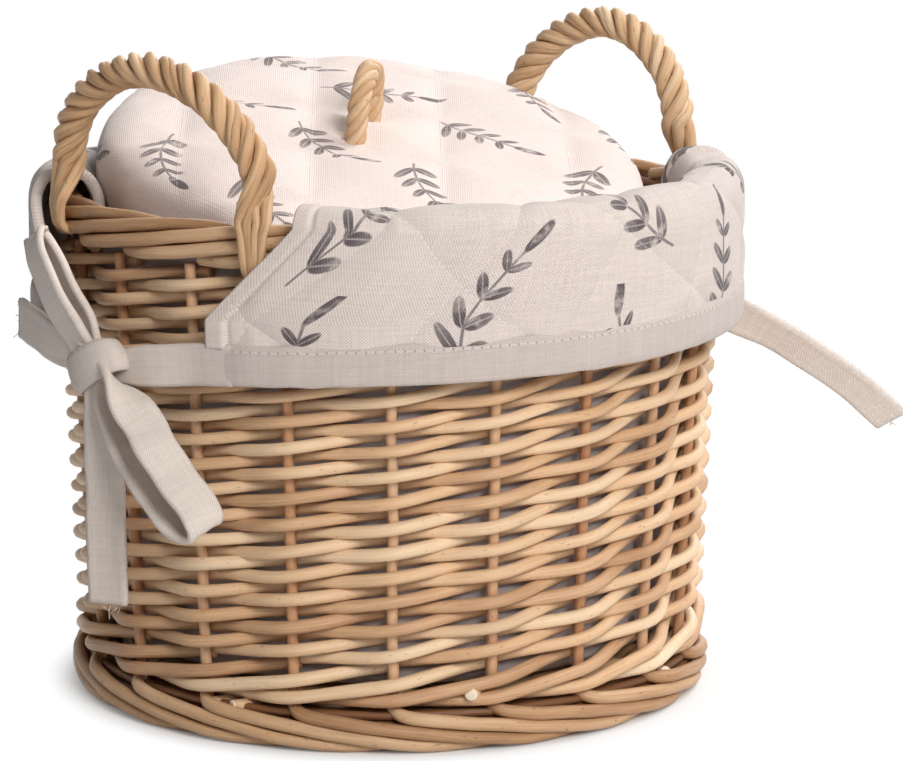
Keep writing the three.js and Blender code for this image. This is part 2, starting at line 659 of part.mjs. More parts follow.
// The right bow's front tape ends in a stiff tail that stands away from the wall.
const fromRightFrontCuff = fromBackCuff.slice(0, 7)
  .map(([a, z, layer]) => [a + 180, z, layer])
  .concat([
    [KNOT_ANGLE + 177, knot - 0.04 * BOW_TAIL, 3.6],
    [KNOT_ANGLE + 171, knot - 0.06 * BOW_TAIL, 4.4],
    [KNOT_ANGLE + 165, knot - 0.1 * BOW_TAIL, 8],
    [KNOT_ANGLE + 161, knot - 0.2 * BOW_TAIL, 17],
    [KNOT_ANGLE + 159, knot - 0.43 * BOW_TAIL, 34],
    [KNOT_ANGLE + 159.5, knot - 0.66 * BOW_TAIL, 48],
  ]);
addPiece(liner, 'tie_left_front', tapeSolid(fromFrontCuff), BINDING);
addPiece(liner, 'tie_left_back', tapeSolid(fromBackCuff), BINDING);
addPiece(liner, 'tie_right_front', tapeSolid(fromRightFrontCuff), BINDING);
addPiece(liner, 'tie_right_back', tapeSolid(
  fromFrontCuff.map(([a, z, layer]) => [a + 180, z, layer]),
), BINDING);

// Lid: a crowned cushion over a stiff core, with a twisted loop through its middle
const lid = new THREE.Group();
const bagInside = bagOuter(linerTop) - LINER_THICKNESS;
const lidRadius = bagInside - LID_GAP;
const coreRadius = lidRadius - LID_EDGE_WIDTH;
{
  const seat = RIM_TOP + CUFF_THICKNESS + CUFF_FOLD_LIFT + CUFF_LOOSE_LIFT / 2;
  const tilt = LID_TILT * DEG;
  const rolled = LID_BACK_SHIFT * LID_EDGE_SLOPE - LID_SEAT_SINK * LID_EDGE_WIDTH;
  const seam = seat + LID_DEPTH / Math.cos(tilt) + rolled - bagInside * Math.tan(tilt);
  lid.position.set(LID_SIDE_SHIFT, LID_BACK_SHIFT, seam);
  lid.rotation.set(tilt, LID_ROLL * DEG, 0);
  basket.add(lid);
}

// Depth of the quilting at a place on the lid: two crossed sets of rows, fading at the edge.
function quiltDepth(x, y) {
  const toRow = (q) => Math.abs(q - LID_QUILT_PITCH * Math.round(q / LID_QUILT_PITCH));
  const along = (x + y) * Math.SQRT1_2 + LID_QUILT_PITCH / 2;
  const across = (x - y) * Math.SQRT1_2 + LID_QUILT_PITCH / 2;
  const near = Math.min(toRow(along), toRow(across)) / LID_QUILT_SOFTNESS;
  const inside = smooth((lidRadius - Math.hypot(x, y)) / LID_EDGE_WIDTH);
  return LID_QUILT_DEPTH * inside * Math.exp(-near * near);
}

{
  const coreTop = -LID_DEPTH + FIT + LID_CORE_THICKNESS;
  const roof = coreTop + FIT;
  const recess = coreRadius + FIT;
  const rim = 3;
  const profile = [new THREE.Vector2(0, roof), new THREE.Vector2(recess, roof)];
  profile.push(new THREE.Vector2(recess, -LID_DEPTH));
  const sides = 3;
  for (let i = 0; i <= sides; i += 1) {
    const a = (-90 + 90 * (i / sides)) * DEG;
    const edge = lidRadius - recess - rim;
    profile.push(new THREE.Vector2(recess + rim + edge * Math.cos(a), LID_DEPTH * Math.sin(a)));
  }
  // The crown's superellipse, in steps that are even on the flat and close at the edge.
  const crownSteps = 16;
  for (let i = 1; i <= crownSteps; i += 1) {
    const r = lidRadius * (1 - (i / crownSteps) ** 1.3);
    profile.push(new THREE.Vector2(r, LID_CROWN * (1 - (r / lidRadius) ** LID_FULLNESS) ** (1 / LID_FULLNESS)));
  }
  profile.push(profile[0].clone());
  const pad = new THREE.LatheGeometry(profile, LID_SIDES);
  pad.rotateX(Math.PI / 2);
  const place = pad.attributes.position;
  for (let i = 0; i < place.count; i += 1) {
    const z = place.getZ(i);
    if (z > FIT) {
      place.setZ(i, z - quiltDepth(place.getX(i), place.getY(i)));
    }
  }

  const legs = new THREE.Group();
  let padSolid = toManifold(pad);
  const holeRadius = LOOP_ROPE_RADIUS + FIT;
  const holeDepth = 2 * (LID_CROWN + LID_DEPTH);
  for (const side of [-1, 1]) {
    const hole = new THREE.CylinderGeometry(holeRadius, holeRadius, holeDepth, 12);
    hole.rotateX(Math.PI / 2);
    hole.translate((side * LOOP_SPAN) / 2, 0, holeDepth / 2 + coreTop - FIT);
    hole.rotateZ(LOOP_TURN * DEG);
    hole.translate(0, LOOP_BACK_SHIFT, 0);
    padSolid = padSolid.subtract(toManifold(hole));
  }
  addPiece(lid, 'lid_pad', fromManifold(padSolid), LID_CLOTH);

  const core = new THREE.CylinderGeometry(coreRadius, coreRadius, LID_CORE_THICKNESS, LID_SIDES);
  core.rotateX(Math.PI / 2);
  core.translate(0, 0, coreTop - LID_CORE_THICKNESS / 2);
  addPiece(lid, 'lid_core', core, BOARD);

  const clothRadius = recess + rim + 1;
  const cloth = new THREE.CylinderGeometry(clothRadius, clothRadius, LID_CLOTH_THICKNESS, LID_SIDES);
  cloth.rotateX(Math.PI / 2);
  cloth.translate(0, 0, -LID_DEPTH - FIT - LID_CLOTH_THICKNESS / 2);
  addPiece(lid, 'lid_base_cloth', cloth, LID_CLOTH);

  const path = [];
  const legFoot = coreTop + FIT;
  const half = LOOP_SPAN / 2;
  const bend = LID_CROWN + LOOP_RISE - LOOP_ROPE_RADIUS - half;
  const legSteps = 3;
  const archSteps = 12;
  for (let i = 0; i < legSteps; i += 1) {
    path.push(new THREE.Vector3(-half, 0, mix(legFoot, bend, i / legSteps)));
  }
  for (let i = 0; i <= archSteps; i += 1) {
    const a = Math.PI * (i / archSteps);
    path.push(new THREE.Vector3(-half * Math.cos(a), 0, bend + half * Math.sin(a)));
  }
  for (let i = legSteps - 1; i >= 0; i -= 1) {
    path.push(new THREE.Vector3(half, 0, mix(legFoot, bend, i / legSteps)));
  }
  const flat = new THREE.Vector3(0, 1, 0);
  const section = (i) => {
    const turn = (i / (path.length - 1)) * LOOP_LAY_TURNS * 2 * Math.PI;
    return strandSection(LOOP_ROPE_RADIUS, LOOP_ROPE_RADIUS, LOOP_STRANDS, 3, 1.1, turn);
  };
  legs.position.y = LOOP_BACK_SHIFT;
  legs.rotation.z = LOOP_TURN * DEG;
  addPiece(legs, 'lid_handle', skin(sweepRings(path, () => flat, section), false), STRAW);
  lid.add(legs);
}

export default basket;
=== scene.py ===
"""Potato basket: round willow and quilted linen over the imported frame, with shapes in millimetres."""
import math

import bpy
import numpy as np
from mathutils import Euler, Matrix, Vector


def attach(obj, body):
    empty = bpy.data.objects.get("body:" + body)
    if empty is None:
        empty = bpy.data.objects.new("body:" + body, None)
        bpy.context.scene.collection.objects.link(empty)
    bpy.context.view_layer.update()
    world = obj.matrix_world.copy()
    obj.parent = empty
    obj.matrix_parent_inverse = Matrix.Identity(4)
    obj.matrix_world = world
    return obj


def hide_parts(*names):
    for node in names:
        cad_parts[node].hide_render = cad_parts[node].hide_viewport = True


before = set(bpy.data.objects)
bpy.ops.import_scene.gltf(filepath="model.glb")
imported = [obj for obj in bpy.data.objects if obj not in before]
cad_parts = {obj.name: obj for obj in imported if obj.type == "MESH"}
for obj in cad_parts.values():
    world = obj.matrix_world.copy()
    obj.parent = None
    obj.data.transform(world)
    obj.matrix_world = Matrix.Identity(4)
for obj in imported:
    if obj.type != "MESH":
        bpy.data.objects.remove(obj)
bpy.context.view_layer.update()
scene = bpy.context.scene
rng = np.random.default_rng(20)

MM = 0.001

# Sizes repeated or worked out from the CAD source, in millimetres and degrees
RIM_TOP = 178.0
STAKES = 20
INTERVAL = 360.0 / STAKES
STAKE_RADIUS = 1.9
RING_FOOT, RING_RIM = 106.4, 113.6
ROD_RADIUS = 2.05
ROD_IN, ROD_OUT = 4.2, 4.54
RAND_BOTTOM, RAND_TOP, RAND_PASSES = 29.65, 160.25, 31
BORDER_MIDDLE, BORDER_HALF_WIDTH, BORDER_HALF_HEIGHT = 170.3, 6.2, 7.7
BORDER_OUTER = RING_RIM + BORDER_HALF_WIDTH
BASE_RADIUS, BASE_UNDERSIDE, BASE_THICKNESS = 99.6, 9.8, 8.6
BAG_TOP, BAG_THICKNESS, BAG_FLOOR = 170.0, 3.2, 18.7
CUFF_THICKNESS = 3.4
FLAP_RADIUS, FLAP_END_RADIUS = 124.6, 127.4
FOLD_END, HEM_END, CORNER_DROP = 30.5, 17.0, 30.0
HEM_LENGTH = 2 * math.radians(90 - HEM_END) * FLAP_RADIUS
FOLD_LIFT, LOOSE_LIFT = 3.4, 1.8
DROP_NEAR, DROP_FAR = 52.0, 44.0
BINDING_WIDTH, BINDING_THICKNESS = 14.0, 4.4
TAPE_RADIUS, TAPE_WIDTH = 130.7, 14.0
KNOT_ANGLE, KNOT_HEIGHT = 178.0, 129.0
LID_RADIUS, LID_CROWN, LID_DEPTH, LID_FULLNESS = 98.43, 18.2, 20.0, 4.2
LID_TURN, LID_PLACE = (13.6, -5.4, 0.0), (1.0, 9.1, 180.405)
LID_CORE_EDGE = 84.2
LOOP_SPAN, LOOP_RISE, LOOP_TURN, LOOP_ROPE, LOOP_BACK = 27.0, 22.0, 33.0, 4.1, 7.0
QUILT_PITCH = 46.0
LID_QUILT = (45.0, 23.0)    # turn of the rows in degrees, and their offset
CUFF_QUILT = (32.0, 0.0)    # the same for the cuffs and the bag, which are smooth in the CAD source

# Camera: places in metres, lens and sensor in millimetres
CAMERA_PLACE, CAMERA_TARGET = (-0.8905, -0.8797, 0.3408), (0.01564, -0.01583, 0.1060)
CAMERA_LENS, CAMERA_SENSOR = 141.05, 36.0


def aim(obj, target):
    obj.rotation_euler = (Vector(target) - obj.location).to_track_quat("-Z", "Y").to_euler()


camera = bpy.data.objects.new("camera", bpy.data.cameras.new("camera"))
scene.collection.objects.link(camera)
scene.camera = camera
camera.location = CAMERA_PLACE
camera.data.sensor_width = CAMERA_SENSOR
camera.data.sensor_fit = "HORIZONTAL"
camera.data.lens = CAMERA_LENS
camera.data.clip_start = 0.05
camera.data.clip_end = 30.0
aim(camera, CAMERA_TARGET)


# Shape helpers

def unit(v):
    v = np.asarray(v, float)
    return v / np.linalg.norm(v, axis=-1, keepdims=True)


def mix(a, b, t):
    return a + (b - a) * t


def smooth(t):
    c = np.clip(t, 0, 1)
    return c * c * (3 - 2 * c)


def signed_power(value, power):
    return np.sign(value) * np.abs(value) ** power


def cos_sin(degrees):
    return math.cos(math.radians(degrees)), math.sin(math.radians(degrees))


def around(count):
    """Angles evenly round a circle, in radians."""
    return np.linspace(0, 2 * np.pi, count, endpoint=False)


def spun(radius, angle, z):
    """Points at a radius, an angle in radians and a height."""
    return np.stack(np.broadcast_arrays(radius * np.cos(angle), radius * np.sin(angle), z), -1).astype(float)


def polar(radius, degrees, z):
    return spun(radius, np.radians(degrees), z)


def stake_ring(z):
    return mix(RING_FOOT, RING_RIM, z / RIM_TOP)


def stake_angle(k):
    return (k + 0.5) * INTERVAL


def spline(stops, step):
    """Smooth curve through the stops, sampled about every step."""
    p = np.asarray(stops, float)
    gap = np.linalg.norm(np.diff(p, axis=0), axis=1)
    t = np.concatenate([[0], np.cumsum(np.sqrt(gap))])
    slope = np.empty_like(p)
    slope[1:-1] = (p[2:] - p[:-2]) / (t[2:] - t[:-2])[:, None]
    slope[0] = 1.5 * (p[1] - p[0]) / (t[1] - t[0]) - 0.5 * slope[1]
    slope[-1] = 1.5 * (p[-1] - p[-2]) / (t[-1] - t[-2]) - 0.5 * slope[-2]
    out = []
    for i in range(len(p) - 1):
        n = max(2, int(math.ceil(gap[i] / step)))
        f = (np.arange(n) / n)[:, None]
        h = t[i + 1] - t[i]
        out.append((2 * f**3 - 3 * f**2 + 1) * p[i] + (f**3 - 2 * f**2 + f) * h * slope[i]
                   + (3 * f**2 - 2 * f**3) * p[i + 1] + (f**3 - f**2) * h * slope[i + 1])
    return np.vstack(out + [p[-1:]])


def arc_length(path):
    return np.concatenate([[0], np.cumsum(np.linalg.norm(np.diff(path, axis=0), axis=1))])


def evenly(path, step):
    """The path again with points every step along it."""
    along = arc_length(path)
    at = np.linspace(0, along[-1], max(2, int(round(along[-1] / step)) + 1))
    return np.stack([np.interp(at, along, path[:, k]) for k in range(3)], 1)


def carried_frames(path, first):
    """Normal and side at each point of the path, with the normal carried along without twist."""
    tangent = unit(np.gradient(path, axis=0))
    normal = np.empty_like(path)
    last = np.asarray(first, float)
    for i, t in enumerate(tangent):
        last = last - t * (last @ t)
        last = last / np.linalg.norm(last)
        normal[i] = last
    return normal, np.cross(tangent, normal)


def wander(n, size, waves=5):
    """A slow random wave of n values, of about that size."""
    t = np.linspace(0, 2 * np.pi, n)
    out = np.zeros(n)
    for k in range(1, waves + 1):
        out += rng.normal() * np.sin(k * t * 1.3 + rng.uniform(0, 6.3)) / math.sqrt(waves)
    return out * size


class Form:
    """Gathers shapes for one mesh, with a UV map in millimetres and a tone for each strand."""

    def __init__(self):
        self.points, self.faces, self.uvs, self.tones = [], [], [], []
        self.total = 0

    def add(self, points, faces, uvs, tone):
        points = np.asarray(points, float).reshape(-1, 3)
        self.points.append(points)
        self.tones.append(np.broadcast_to(tone, len(points)))
        for f, uv in zip(faces, uvs):
            self.faces += (np.asarray(f) + self.total).tolist()
            self.uvs.append(np.asarray(uv, float).reshape(-1, 2))
        self.total += len(points)

    def place(self, turn, shift=(0, 0, 0)):
        """Turns and moves all that has been gathered."""
        r = np.array(Euler([math.radians(a) for a in turn], "XYZ").to_matrix())
        self.points = [p @ r.T + np.asarray(shift) for p in self.points]
        return self

    def mesh(self, name):
        made = bpy.data.meshes.new(name)
        made.from_pydata((np.concatenate(self.points) * MM).tolist(), [], self.faces)
        return made

    def make(self, name, material, body, slot, *nodes):
        mesh = self.mesh(name)
        layer = mesh.uv_layers.new(name="UVMap")
        layer.data.foreach_set("uv", np.concatenate(self.uvs).astype(np.float32).ravel())
        tone = mesh.attributes.new("tone", "FLOAT", "POINT")
        tone.data.foreach_set("value", np.concatenate(self.tones).astype(np.float32))
        mesh.polygons.foreach_set("use_smooth", np.ones(len(mesh.polygons), bool))
        mesh.update()
        mesh.materials.append(material)
        obj = bpy.data.objects.new(name, mesh)
        scene.collection.objects.link(obj)
        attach(obj, body)
        if nodes:
            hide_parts(*nodes)
        return obj


def cells(columns, rows):
    """First corner of every cell of a grid, as its column and its row."""
    return (g.ravel() for g in np.meshgrid(np.arange(columns), np.arange(rows), indexing="ij"))


def skin(form, rings, tone, u, v, closed=False):
    """Faces over rings of points, shape (rings, around, 3); u runs along and v around, in millimetres."""
    n, m = rings.shape[:2]
    k = np.arange(m)
    a, b = cells(n if closed else n - 1, m)
    nxt, side = (a + 1) % n, (b + 1) % m
    quads = np.stack([a * m + b, a * m + side, nxt * m + side, nxt * m + b], 1)
    v = np.broadcast_to(v, (n, m + 1))
    u = np.append(u, u[-1] + np.linalg.norm(rings[0, 0] - rings[-1, 0])) if closed else u
    corners = (u[a], v[a, b]), (u[a], v[a, b + 1]), (u[a + 1], v[nxt, b + 1]), (u[a + 1], v[nxt, b])
    uv = np.transpose(corners, (2, 0, 1))
    points = rings.reshape(-1, 3)
    faces, uvs = [quads], [uv]
    if not closed:
        for ring, flip in ((0, False), (n - 1, True)):
            hub = len(points)
            points = np.vstack([points, rings[ring].mean(0)])
            one, two = ring * m + (k + 1) % m, ring * m + k
            faces.append(np.stack([np.full(m, hub), *((two, one) if flip else (one, two))], 1))
            uvs.append(np.full((m, 3, 2), (u[ring], 0.0)))
    form.add(points, faces, uvs, tone)


def tube(form, path, radius, tone, sides=10, dome=0.35, first=(0, 0, 1), closed=False, lobes=0.0):
    """A round rod along the path, with domed or cut ends."""
    path = np.asarray(path, float)
    radius = np.broadcast_to(radius, len(path)).astype(float)
    if not closed:
        head, tail = unit(path[0] - path[1]) * dome * radius[0], unit(path[-1] - path[-2]) * dome * radius[-1]
        path = np.vstack([path[0] + head, path[0] + 0.6 * head, path, path[-1] + 0.6 * tail, path[-1] + tail])
        radius = np.concatenate([[0.4, 0.82] * radius[:1], radius, [0.82, 0.4] * radius[-1:]])
        normal, side = carried_frames(path, first)
    else:
        wrapped = np.vstack([path[-1:], path, path[:1]])
        normal, side = (f[1:-1] for f in carried_frames(wrapped, first))
    a = around(sides)
    uneven = 1 + lobes * np.cos(3 * a[None] + arc_length(path)[:, None] * 0.12 + 9 * tone)
    rings = path[:, None] + (radius[:, None] * uneven)[..., None] * (
        np.cos(a)[None, :, None] * normal[:, None] + np.sin(a)[None, :, None] * side[:, None])
    v = np.linspace(0, 2 * np.pi * radius.mean(), sides + 1)
    skin(form, rings, tone, arc_length(path) + 97.0 * tone, v, closed)


def sheet_grid(form, outer, inner, u, v):
    """A closed sheet between two grids of points, each of shape (columns, rows, 3)."""
    n, m = outer.shape[:2]
    points = np.concatenate([outer, inner]).reshape(-1, 3)
    uv = np.tile(np.stack([u, v], -1).reshape(-1, 2), (2, 1))
    back = n * m
    a, b = cells(n - 1, m - 1)
    i = a * m + b
    top = np.stack([i, i + m, i + m + 1, i + 1], 1)
    under = np.stack([i + back, i + 1 + back, i + m + 1 + back, i + m + back], 1)
    across, down = np.arange(n) * m, np.arange(m)
    rim = []
    for line in (across, down[::-1], across[::-1] + m - 1, (n - 1) * m + down):
        rim.append(np.stack([line[1:], line[:-1], line[:-1] + back, line[1:] + back], 1))
    faces = [top, under, np.concatenate(rim)]
    form.add(points, faces, [uv[f] for f in faces], 0.5)


def surface_normals(grid):
    return unit(np.cross(np.gradient(grid, axis=0), np.gradient(grid, axis=1)))


# Materials

def arithmetic(operation, turned=False):
    """A method that makes a math node from a field and another value."""
    def method(field, other):
        return field.nodes.math(operation, *((other, field) if turned else (field, other)))
    return method


class Field:
    """A number that varies over a surface; arithmetic on it makes shader nodes."""
    __add__ = arithmetic("ADD")
    __sub__ = arithmetic("SUBTRACT")
    __rsub__ = arithmetic("SUBTRACT", turned=True)
    __mul__ = arithmetic("MULTIPLY")
    __truediv__ = arithmetic("DIVIDE")

    def __init__(self, nodes, socket):
        self.nodes, self.socket = nodes, socket

    def __abs__(self):
        return self.nodes.math("ABSOLUTE", self)


class Nodes:
    """The nodes of a material or a world, with short calls that make them."""

    def __init__(self, owner):
        owner.use_nodes = True
        self.owner, self.tree = owner, owner.node_tree

    def node(self, kind, *inputs, **settings):
        made = self.tree.nodes.new(kind)
        for key, value in settings.items():
            setattr(made, key, value)
        for place, value in enumerate(inputs):
            self.feed(made.inputs[place], value)
        return made

    def feed(self, socket, value):
        if isinstance(value, Field):
            value = value.socket
        if isinstance(value, bpy.types.NodeSocket):
            self.tree.links.new(value, socket)
        else:
            socket.default_value = value

    def fill(self, node, **values):
        for name, value in values.items():
            self.feed(node.inputs[name.replace("_", " ")], value)

    def field(self, kind, *inputs, output=0, **settings):
        return Field(self, self.node(kind, *inputs, **settings).outputs[output])

    def math(self, operation, *values, clamp=False):
        return self.field("ShaderNodeMath", *values, operation=operation, use_clamp=clamp)

    def vector(self, x, y, z):
        return self.node("ShaderNodeCombineXYZ", x, y, z).outputs[0]

    def parts(self, vector):
        made = self.node("ShaderNodeSeparateXYZ", vector)
        return Field(self, made.outputs[0]), Field(self, made.outputs[1])

    def noise(self, place, detail=2.0, rough=0.5, scale=1.0):
        made = self.node("ShaderNodeTexNoise")
        vector = self.vector(*place) if isinstance(place, tuple) else place
        self.fill(made, Vector=vector, Scale=scale, Detail=detail, Roughness=rough)
        return Field(self, made.outputs["Fac"])

    def ramp(self, value, *stops):
        made = self.node("ShaderNodeValToRGB", value)
        points = made.color_ramp.elements
        while len(points) < len(stops):
            points.new(0.5)
        for point, (at, colour) in zip(points, stops):
            point.position = at
            point.color = colour
        return made.outputs[0]

    def blend(self, share, a, b):
        made = self.node("ShaderNodeMix", data_type="RGBA")
        for place, value in ((0, share), (6, a), (7, b)):
            self.feed(made.inputs[place], value)
        return made.outputs[2]

    def step(self, value, low, high):
        """0 under low and 1 over high, smoothly; low over high turns it round."""
        ends = (low, high, 0.0, 1.0) if low < high else (high, low, 1.0, 0.0)
        return self.field("ShaderNodeMapRange", value, *ends, interpolation_type="SMOOTHSTEP")

    def uv(self):
        return self.parts(self.node("ShaderNodeUVMap", uv_map="UVMap").outputs[0])

    def tone(self):
        return self.field("ShaderNodeAttribute", output="Fac", attribute_name="tone")

    def finish(self, colour, rough, height, depth_mm, strength, **sockets):
        bump = self.node("ShaderNodeBump")
        self.fill(bump, Strength=strength, Distance=depth_mm * MM, Height=height)
        shader = self.tree.nodes["Principled BSDF"]
        self.fill(shader, Base_Color=colour, Roughness=rough, Normal=bump.outputs[0], **sockets)
        return self.owner


def linear(r, g, b):
    """Linear colour of 8-bit display values."""
    return *(((c / 255 + 0.055) / 1.055) ** 2.4 if c > 10 else c / 255 / 12.92 for c in (r, g, b)), 1.0


CUT_FACE = 1.5    # tone that marks the pale cut end of a rod
SCAR, CUT_WOOD = linear(118, 76, 44), linear(242, 230, 208)
QUILT_THREAD, SEAM_THREAD, NEEDLE_HOLE = linear(250, 246, 241), linear(240, 235, 230), linear(120, 110, 104)


def willow(name, dark, middle, pale, specks=1.0, gloss=0.42):
    """Peeled willow: grain along the rod, darker scars and small pits, pale cut ends, and a satin skin."""
    n = Nodes(bpy.data.materials.new(name))
    u, v = n.uv()
    tone = n.tone()
    shift = tone * 53.0
    grain = n.noise((u * 0.06, v * 1.6, shift), 4.0, 0.62)
    fine = n.noise((u * 0.25, v * 6.0, shift), 3.0)
    slow = n.noise((u * 0.022, v * 0.05, shift))
    pits = n.noise((u * 0.42, v * 0.9, shift), 1.0)
    level = tone * 0.46 + slow * 0.42 + grain * 0.40 - 0.12
    colour = n.ramp(level, (0.12, linear(*dark)), (0.47, linear(*middle)), (0.82, linear(*pale)))
    pit = n.step(pits, 0.70, 0.76) * (0.55 * specks)
    scar = n.step(slow, 0.60, 0.78) * (0.30 * specks)
    colour = n.blend(n.math("MAXIMUM", pit, scar), colour, SCAR)
    colour = n.blend(n.step(tone, CUT_FACE - 0.3, CUT_FACE - 0.2), colour, CUT_WOOD)
    rough = fine * 0.22 + (gloss - 0.08)
    height = fine * 0.5 + grain - pit * 1.2
    return n.finish(colour, rough, height, 0.35, 0.55, Specular_IOR_Level=0.35)


def weave(n, u, v, period):
    """Height of a plain linen weave, its thick and thin threads, and their crossings."""
    ripple = n.noise((u * 0.08, v * 0.08, 3.0))
    turn = 2 * math.pi / period
    knit = n.math("SINE", u * turn + ripple * 9.0) * n.math("SINE", v * turn + ripple * 7.0)
    slub = n.noise((u * 0.05, v * 1.1, 7.0)) + n.noise((u * 1.1, v * 0.05, 11.0))
    return slub * 0.8 + knit * 0.45, slub, knit


# Sprig of the print, before it is scaled: leaves in pairs up a curved stem, and one leaf at its tip
LEAF_PITCH, LEAF_LEAN, LEAF_HALF_LENGTH, LEAF_HALF_WIDTH = 9.0, 40.0, 5.6, 2.2
STEM_BOTTOM, LEAVES_BOTTOM, LEAVES_TOP, STEM_TOP = -25.0, -20.0, 16.0, 17.0
TIP_MIDDLE, TIP_HALF_LENGTH = 20.5, 6.0
STEM_CURVE, SPRIG_TURN = 0.011, 1.9    # the turn is the whole range in radians


def sprigs(n, u, v, width, drop, size):
    """Ink of loose leafy sprigs in a half-drop repeat, each turned its own way."""
    column = n.math("FLOOR", u / width)
    odd = n.math("MODULO", abs(column), 2.0)
    lifted = odd * (drop / 2) + v
    row = n.math("FLOOR", lifted / drop)
    chance = n.node("ShaderNodeTexWhiteNoise", n.vector(column, row, 5.0), noise_dimensions="3D")
    at_sprig = n.vector(u - (column + 0.5) * width, (row + 0.5) * drop - lifted, 0.0)
    turned = n.node("ShaderNodeVectorRotate", at_sprig, rotation_type="Z_AXIS")
    n.feed(turned.inputs["Angle"], (Field(n, chance.outputs["Value"]) - 0.5) * SPRIG_TURN)
    x, y = (part / size for part in n.parts(turned.outputs[0]))
    x = x - y * y * STEM_CURVE
    side = abs(x)
    climb = y - LEAVES_BOTTOM
    pair = n.math("FLOOR", climb / LEAF_PITCH)
    rise = climb - pair * LEAF_PITCH - 1.2
    scale = pair * -0.12 + 1.05
    c, s = cos_sin(LEAF_LEAN)
    along = side * c + rise * s
    half = scale * LEAF_HALF_LENGTH
    far = (along - half) / half
    thick = (rise * c - side * s) / (scale * LEAF_HALF_WIDTH)
    leaves = LEAVES_TOP - LEAVES_BOTTOM
    on_stem = n.step(climb, 0.0, 0.2) * n.step(climb, leaves, leaves - 0.4)
    leaf = n.step(far * far + thick * thick, 1.15, 0.72) * on_stem
    vein = n.step(abs(thick), 0.16, 0.05) * 0.45
    tip_x, tip_y = x / LEAF_HALF_WIDTH, (y - TIP_MIDDLE) / TIP_HALF_LENGTH
    tip = n.step(tip_x * tip_x + tip_y * tip_y, 1.15, 0.72)
    stem = n.step(y, STEM_BOTTOM, STEM_BOTTOM + 1.0) * n.step(y, STEM_TOP, STEM_TOP - 1.0)
    stem = n.step(side, 0.75, 0.35) * stem * 0.8
    leaf = leaf * (1.0 - vein) * (along * -0.03 + 1.1)
    ink = n.math("MAXIMUM", n.math("MAXIMUM", leaf, tip), stem)
    wash = n.noise((u, v, 2.0), 3.0, 0.6, 0.16)
    return n.math("MULTIPLY", ink, n.step(wash, 0.16, 0.52), clamp=True)


def off_stitch(n, along, length):
    """Distance from the middle of a stitch, as a share of the stitch length."""
    return abs(n.math("FRACT", along / length) - 0.5)


def stitches(n, u, v, rows):
    """Thread of the quilting: short dashes along two crossed sets of rows."""
    turn, offset = rows
    c, s = cos_sin(turn)
    a, b = u * c + offset + v * s, v * c + offset - u * s
    threads = []
    for across, along in ((a, b), (b, a)):
        q = across / QUILT_PITCH
        gap = abs(q - n.math("ROUND", q)) * QUILT_PITCH
        threads.append(n.step(gap, 0.38, 0.2) * n.step(off_stitch(n, along, 3.0), 0.36, 0.30))
    return n.math("MAXIMUM", *threads)


def quilted_linen(name, ground, shade, ink, size, density, layout, rows):
    """Printed linen with quilting stitches."""
    n = Nodes(bpy.data.materials.new(name))
    u, v = n.uv()
    height, slub, knit = weave(n, u, v, 1.05)
    level = knit * 0.22 + slub * 0.26 + 0.26
    colour = n.ramp(level, (0.28, linear(*shade)), (0.66, linear(*ground)))
    printed = sprigs(n, u, v, *layout, size) * density
    colour = n.blend(printed * (knit * 0.12 + 0.88), colour, linear(*ink))
    thread = stitches(n, u, v, rows)
    colour = n.blend(thread * 0.22, colour, QUILT_THREAD)
    height = height + thread * 0.6
    return n.finish(colour, 0.92, height, 0.26, 0.7, Sheen_Weight=0.12, Specular_IOR_Level=0.2)


def tape_linen(name, cloth, stitch_rows=(), start=None):
    """Plain-woven tape, with machine stitches at heights across it; start is its cloth at tone 0, and on the
    tape the lighter cloth it turns into is painted light.
    """
    n = Nodes(bpy.data.materials.new(name))
    u, v = n.uv()
    height, slub, knit = weave(n, u, v, 0.85)
    level = knit * 0.22 + slub * 0.24 + 0.26
    colours = []
    for ground, shade in (cloth, start or cloth):
        colours.append(n.ramp(level, (0.26, linear(*shade)), (0.66, linear(*ground))))
    colour = n.blend(n.tone(), colours[1], colours[0]) if start else colours[0]
    for row in stitch_rows:
        gap, off = abs(v - row), off_stitch(n, u, 3.1)
        thread = n.step(gap, 0.45, 0.25) * n.step(off, 0.40, 0.34)
        hole = n.step(gap, 0.5, 0.25) * n.step(off, 0.40, 0.46)
        colour = n.blend(thread * 0.2, colour, SEAM_THREAD)
        colour = n.blend(hole * 0.6, colour, NEEDLE_HOLE)
        height = height + thread * 0.8 - n.step(gap, 1.3, 0.2) * 1.1
    return n.finish(colour, 0.93, height, 0.25, 0.6, Sheen_Weight=0.15, Specular_IOR_Level=0.2)


# Colours as 8-bit display values: dark, middle and pale of the willow, ground, shade and ink of the linen
ROD_LOOK = willow("peeled_willow", (154, 107, 73), (217, 179, 140), (239, 216, 184), 0.65)
STAKE_LOOK = willow("willow_stakes", (160, 108, 74), (207, 158, 118), (224, 188, 152))
BORDER_LOOK = willow("border_willow", (124, 84, 54), (188, 148, 110), (224, 192, 156))
ROPE_LOOK = willow("twisted_willow", (134, 92, 60), (203, 165, 125), (234, 209, 176), 0.8, 0.46)
BASE_LOOK = willow("bottom_willow", (150, 104, 66), (200, 162, 116), (226, 200, 160))
BOARD_LOOK = willow("lid_board", (150, 112, 70), (190, 158, 110), (205, 176, 130), 0.3, 0.6)
LINER_LAYOUT, LID_LAYOUT = (58.0, 52.0), (54.0, 50.0)    # width and drop of the print's repeat
CUFF_LOOK = quilted_linen("quilted_linen", (222, 211, 205), (190, 178, 172), (60, 50, 60), 1.08, 1.0,
                          LINER_LAYOUT, CUFF_QUILT)
BAG_LOOK = quilted_linen("liner_linen", (220, 209, 202), (188, 176, 169), (90, 76, 84), 0.92, 0.8,
                         LINER_LAYOUT, CUFF_QUILT)
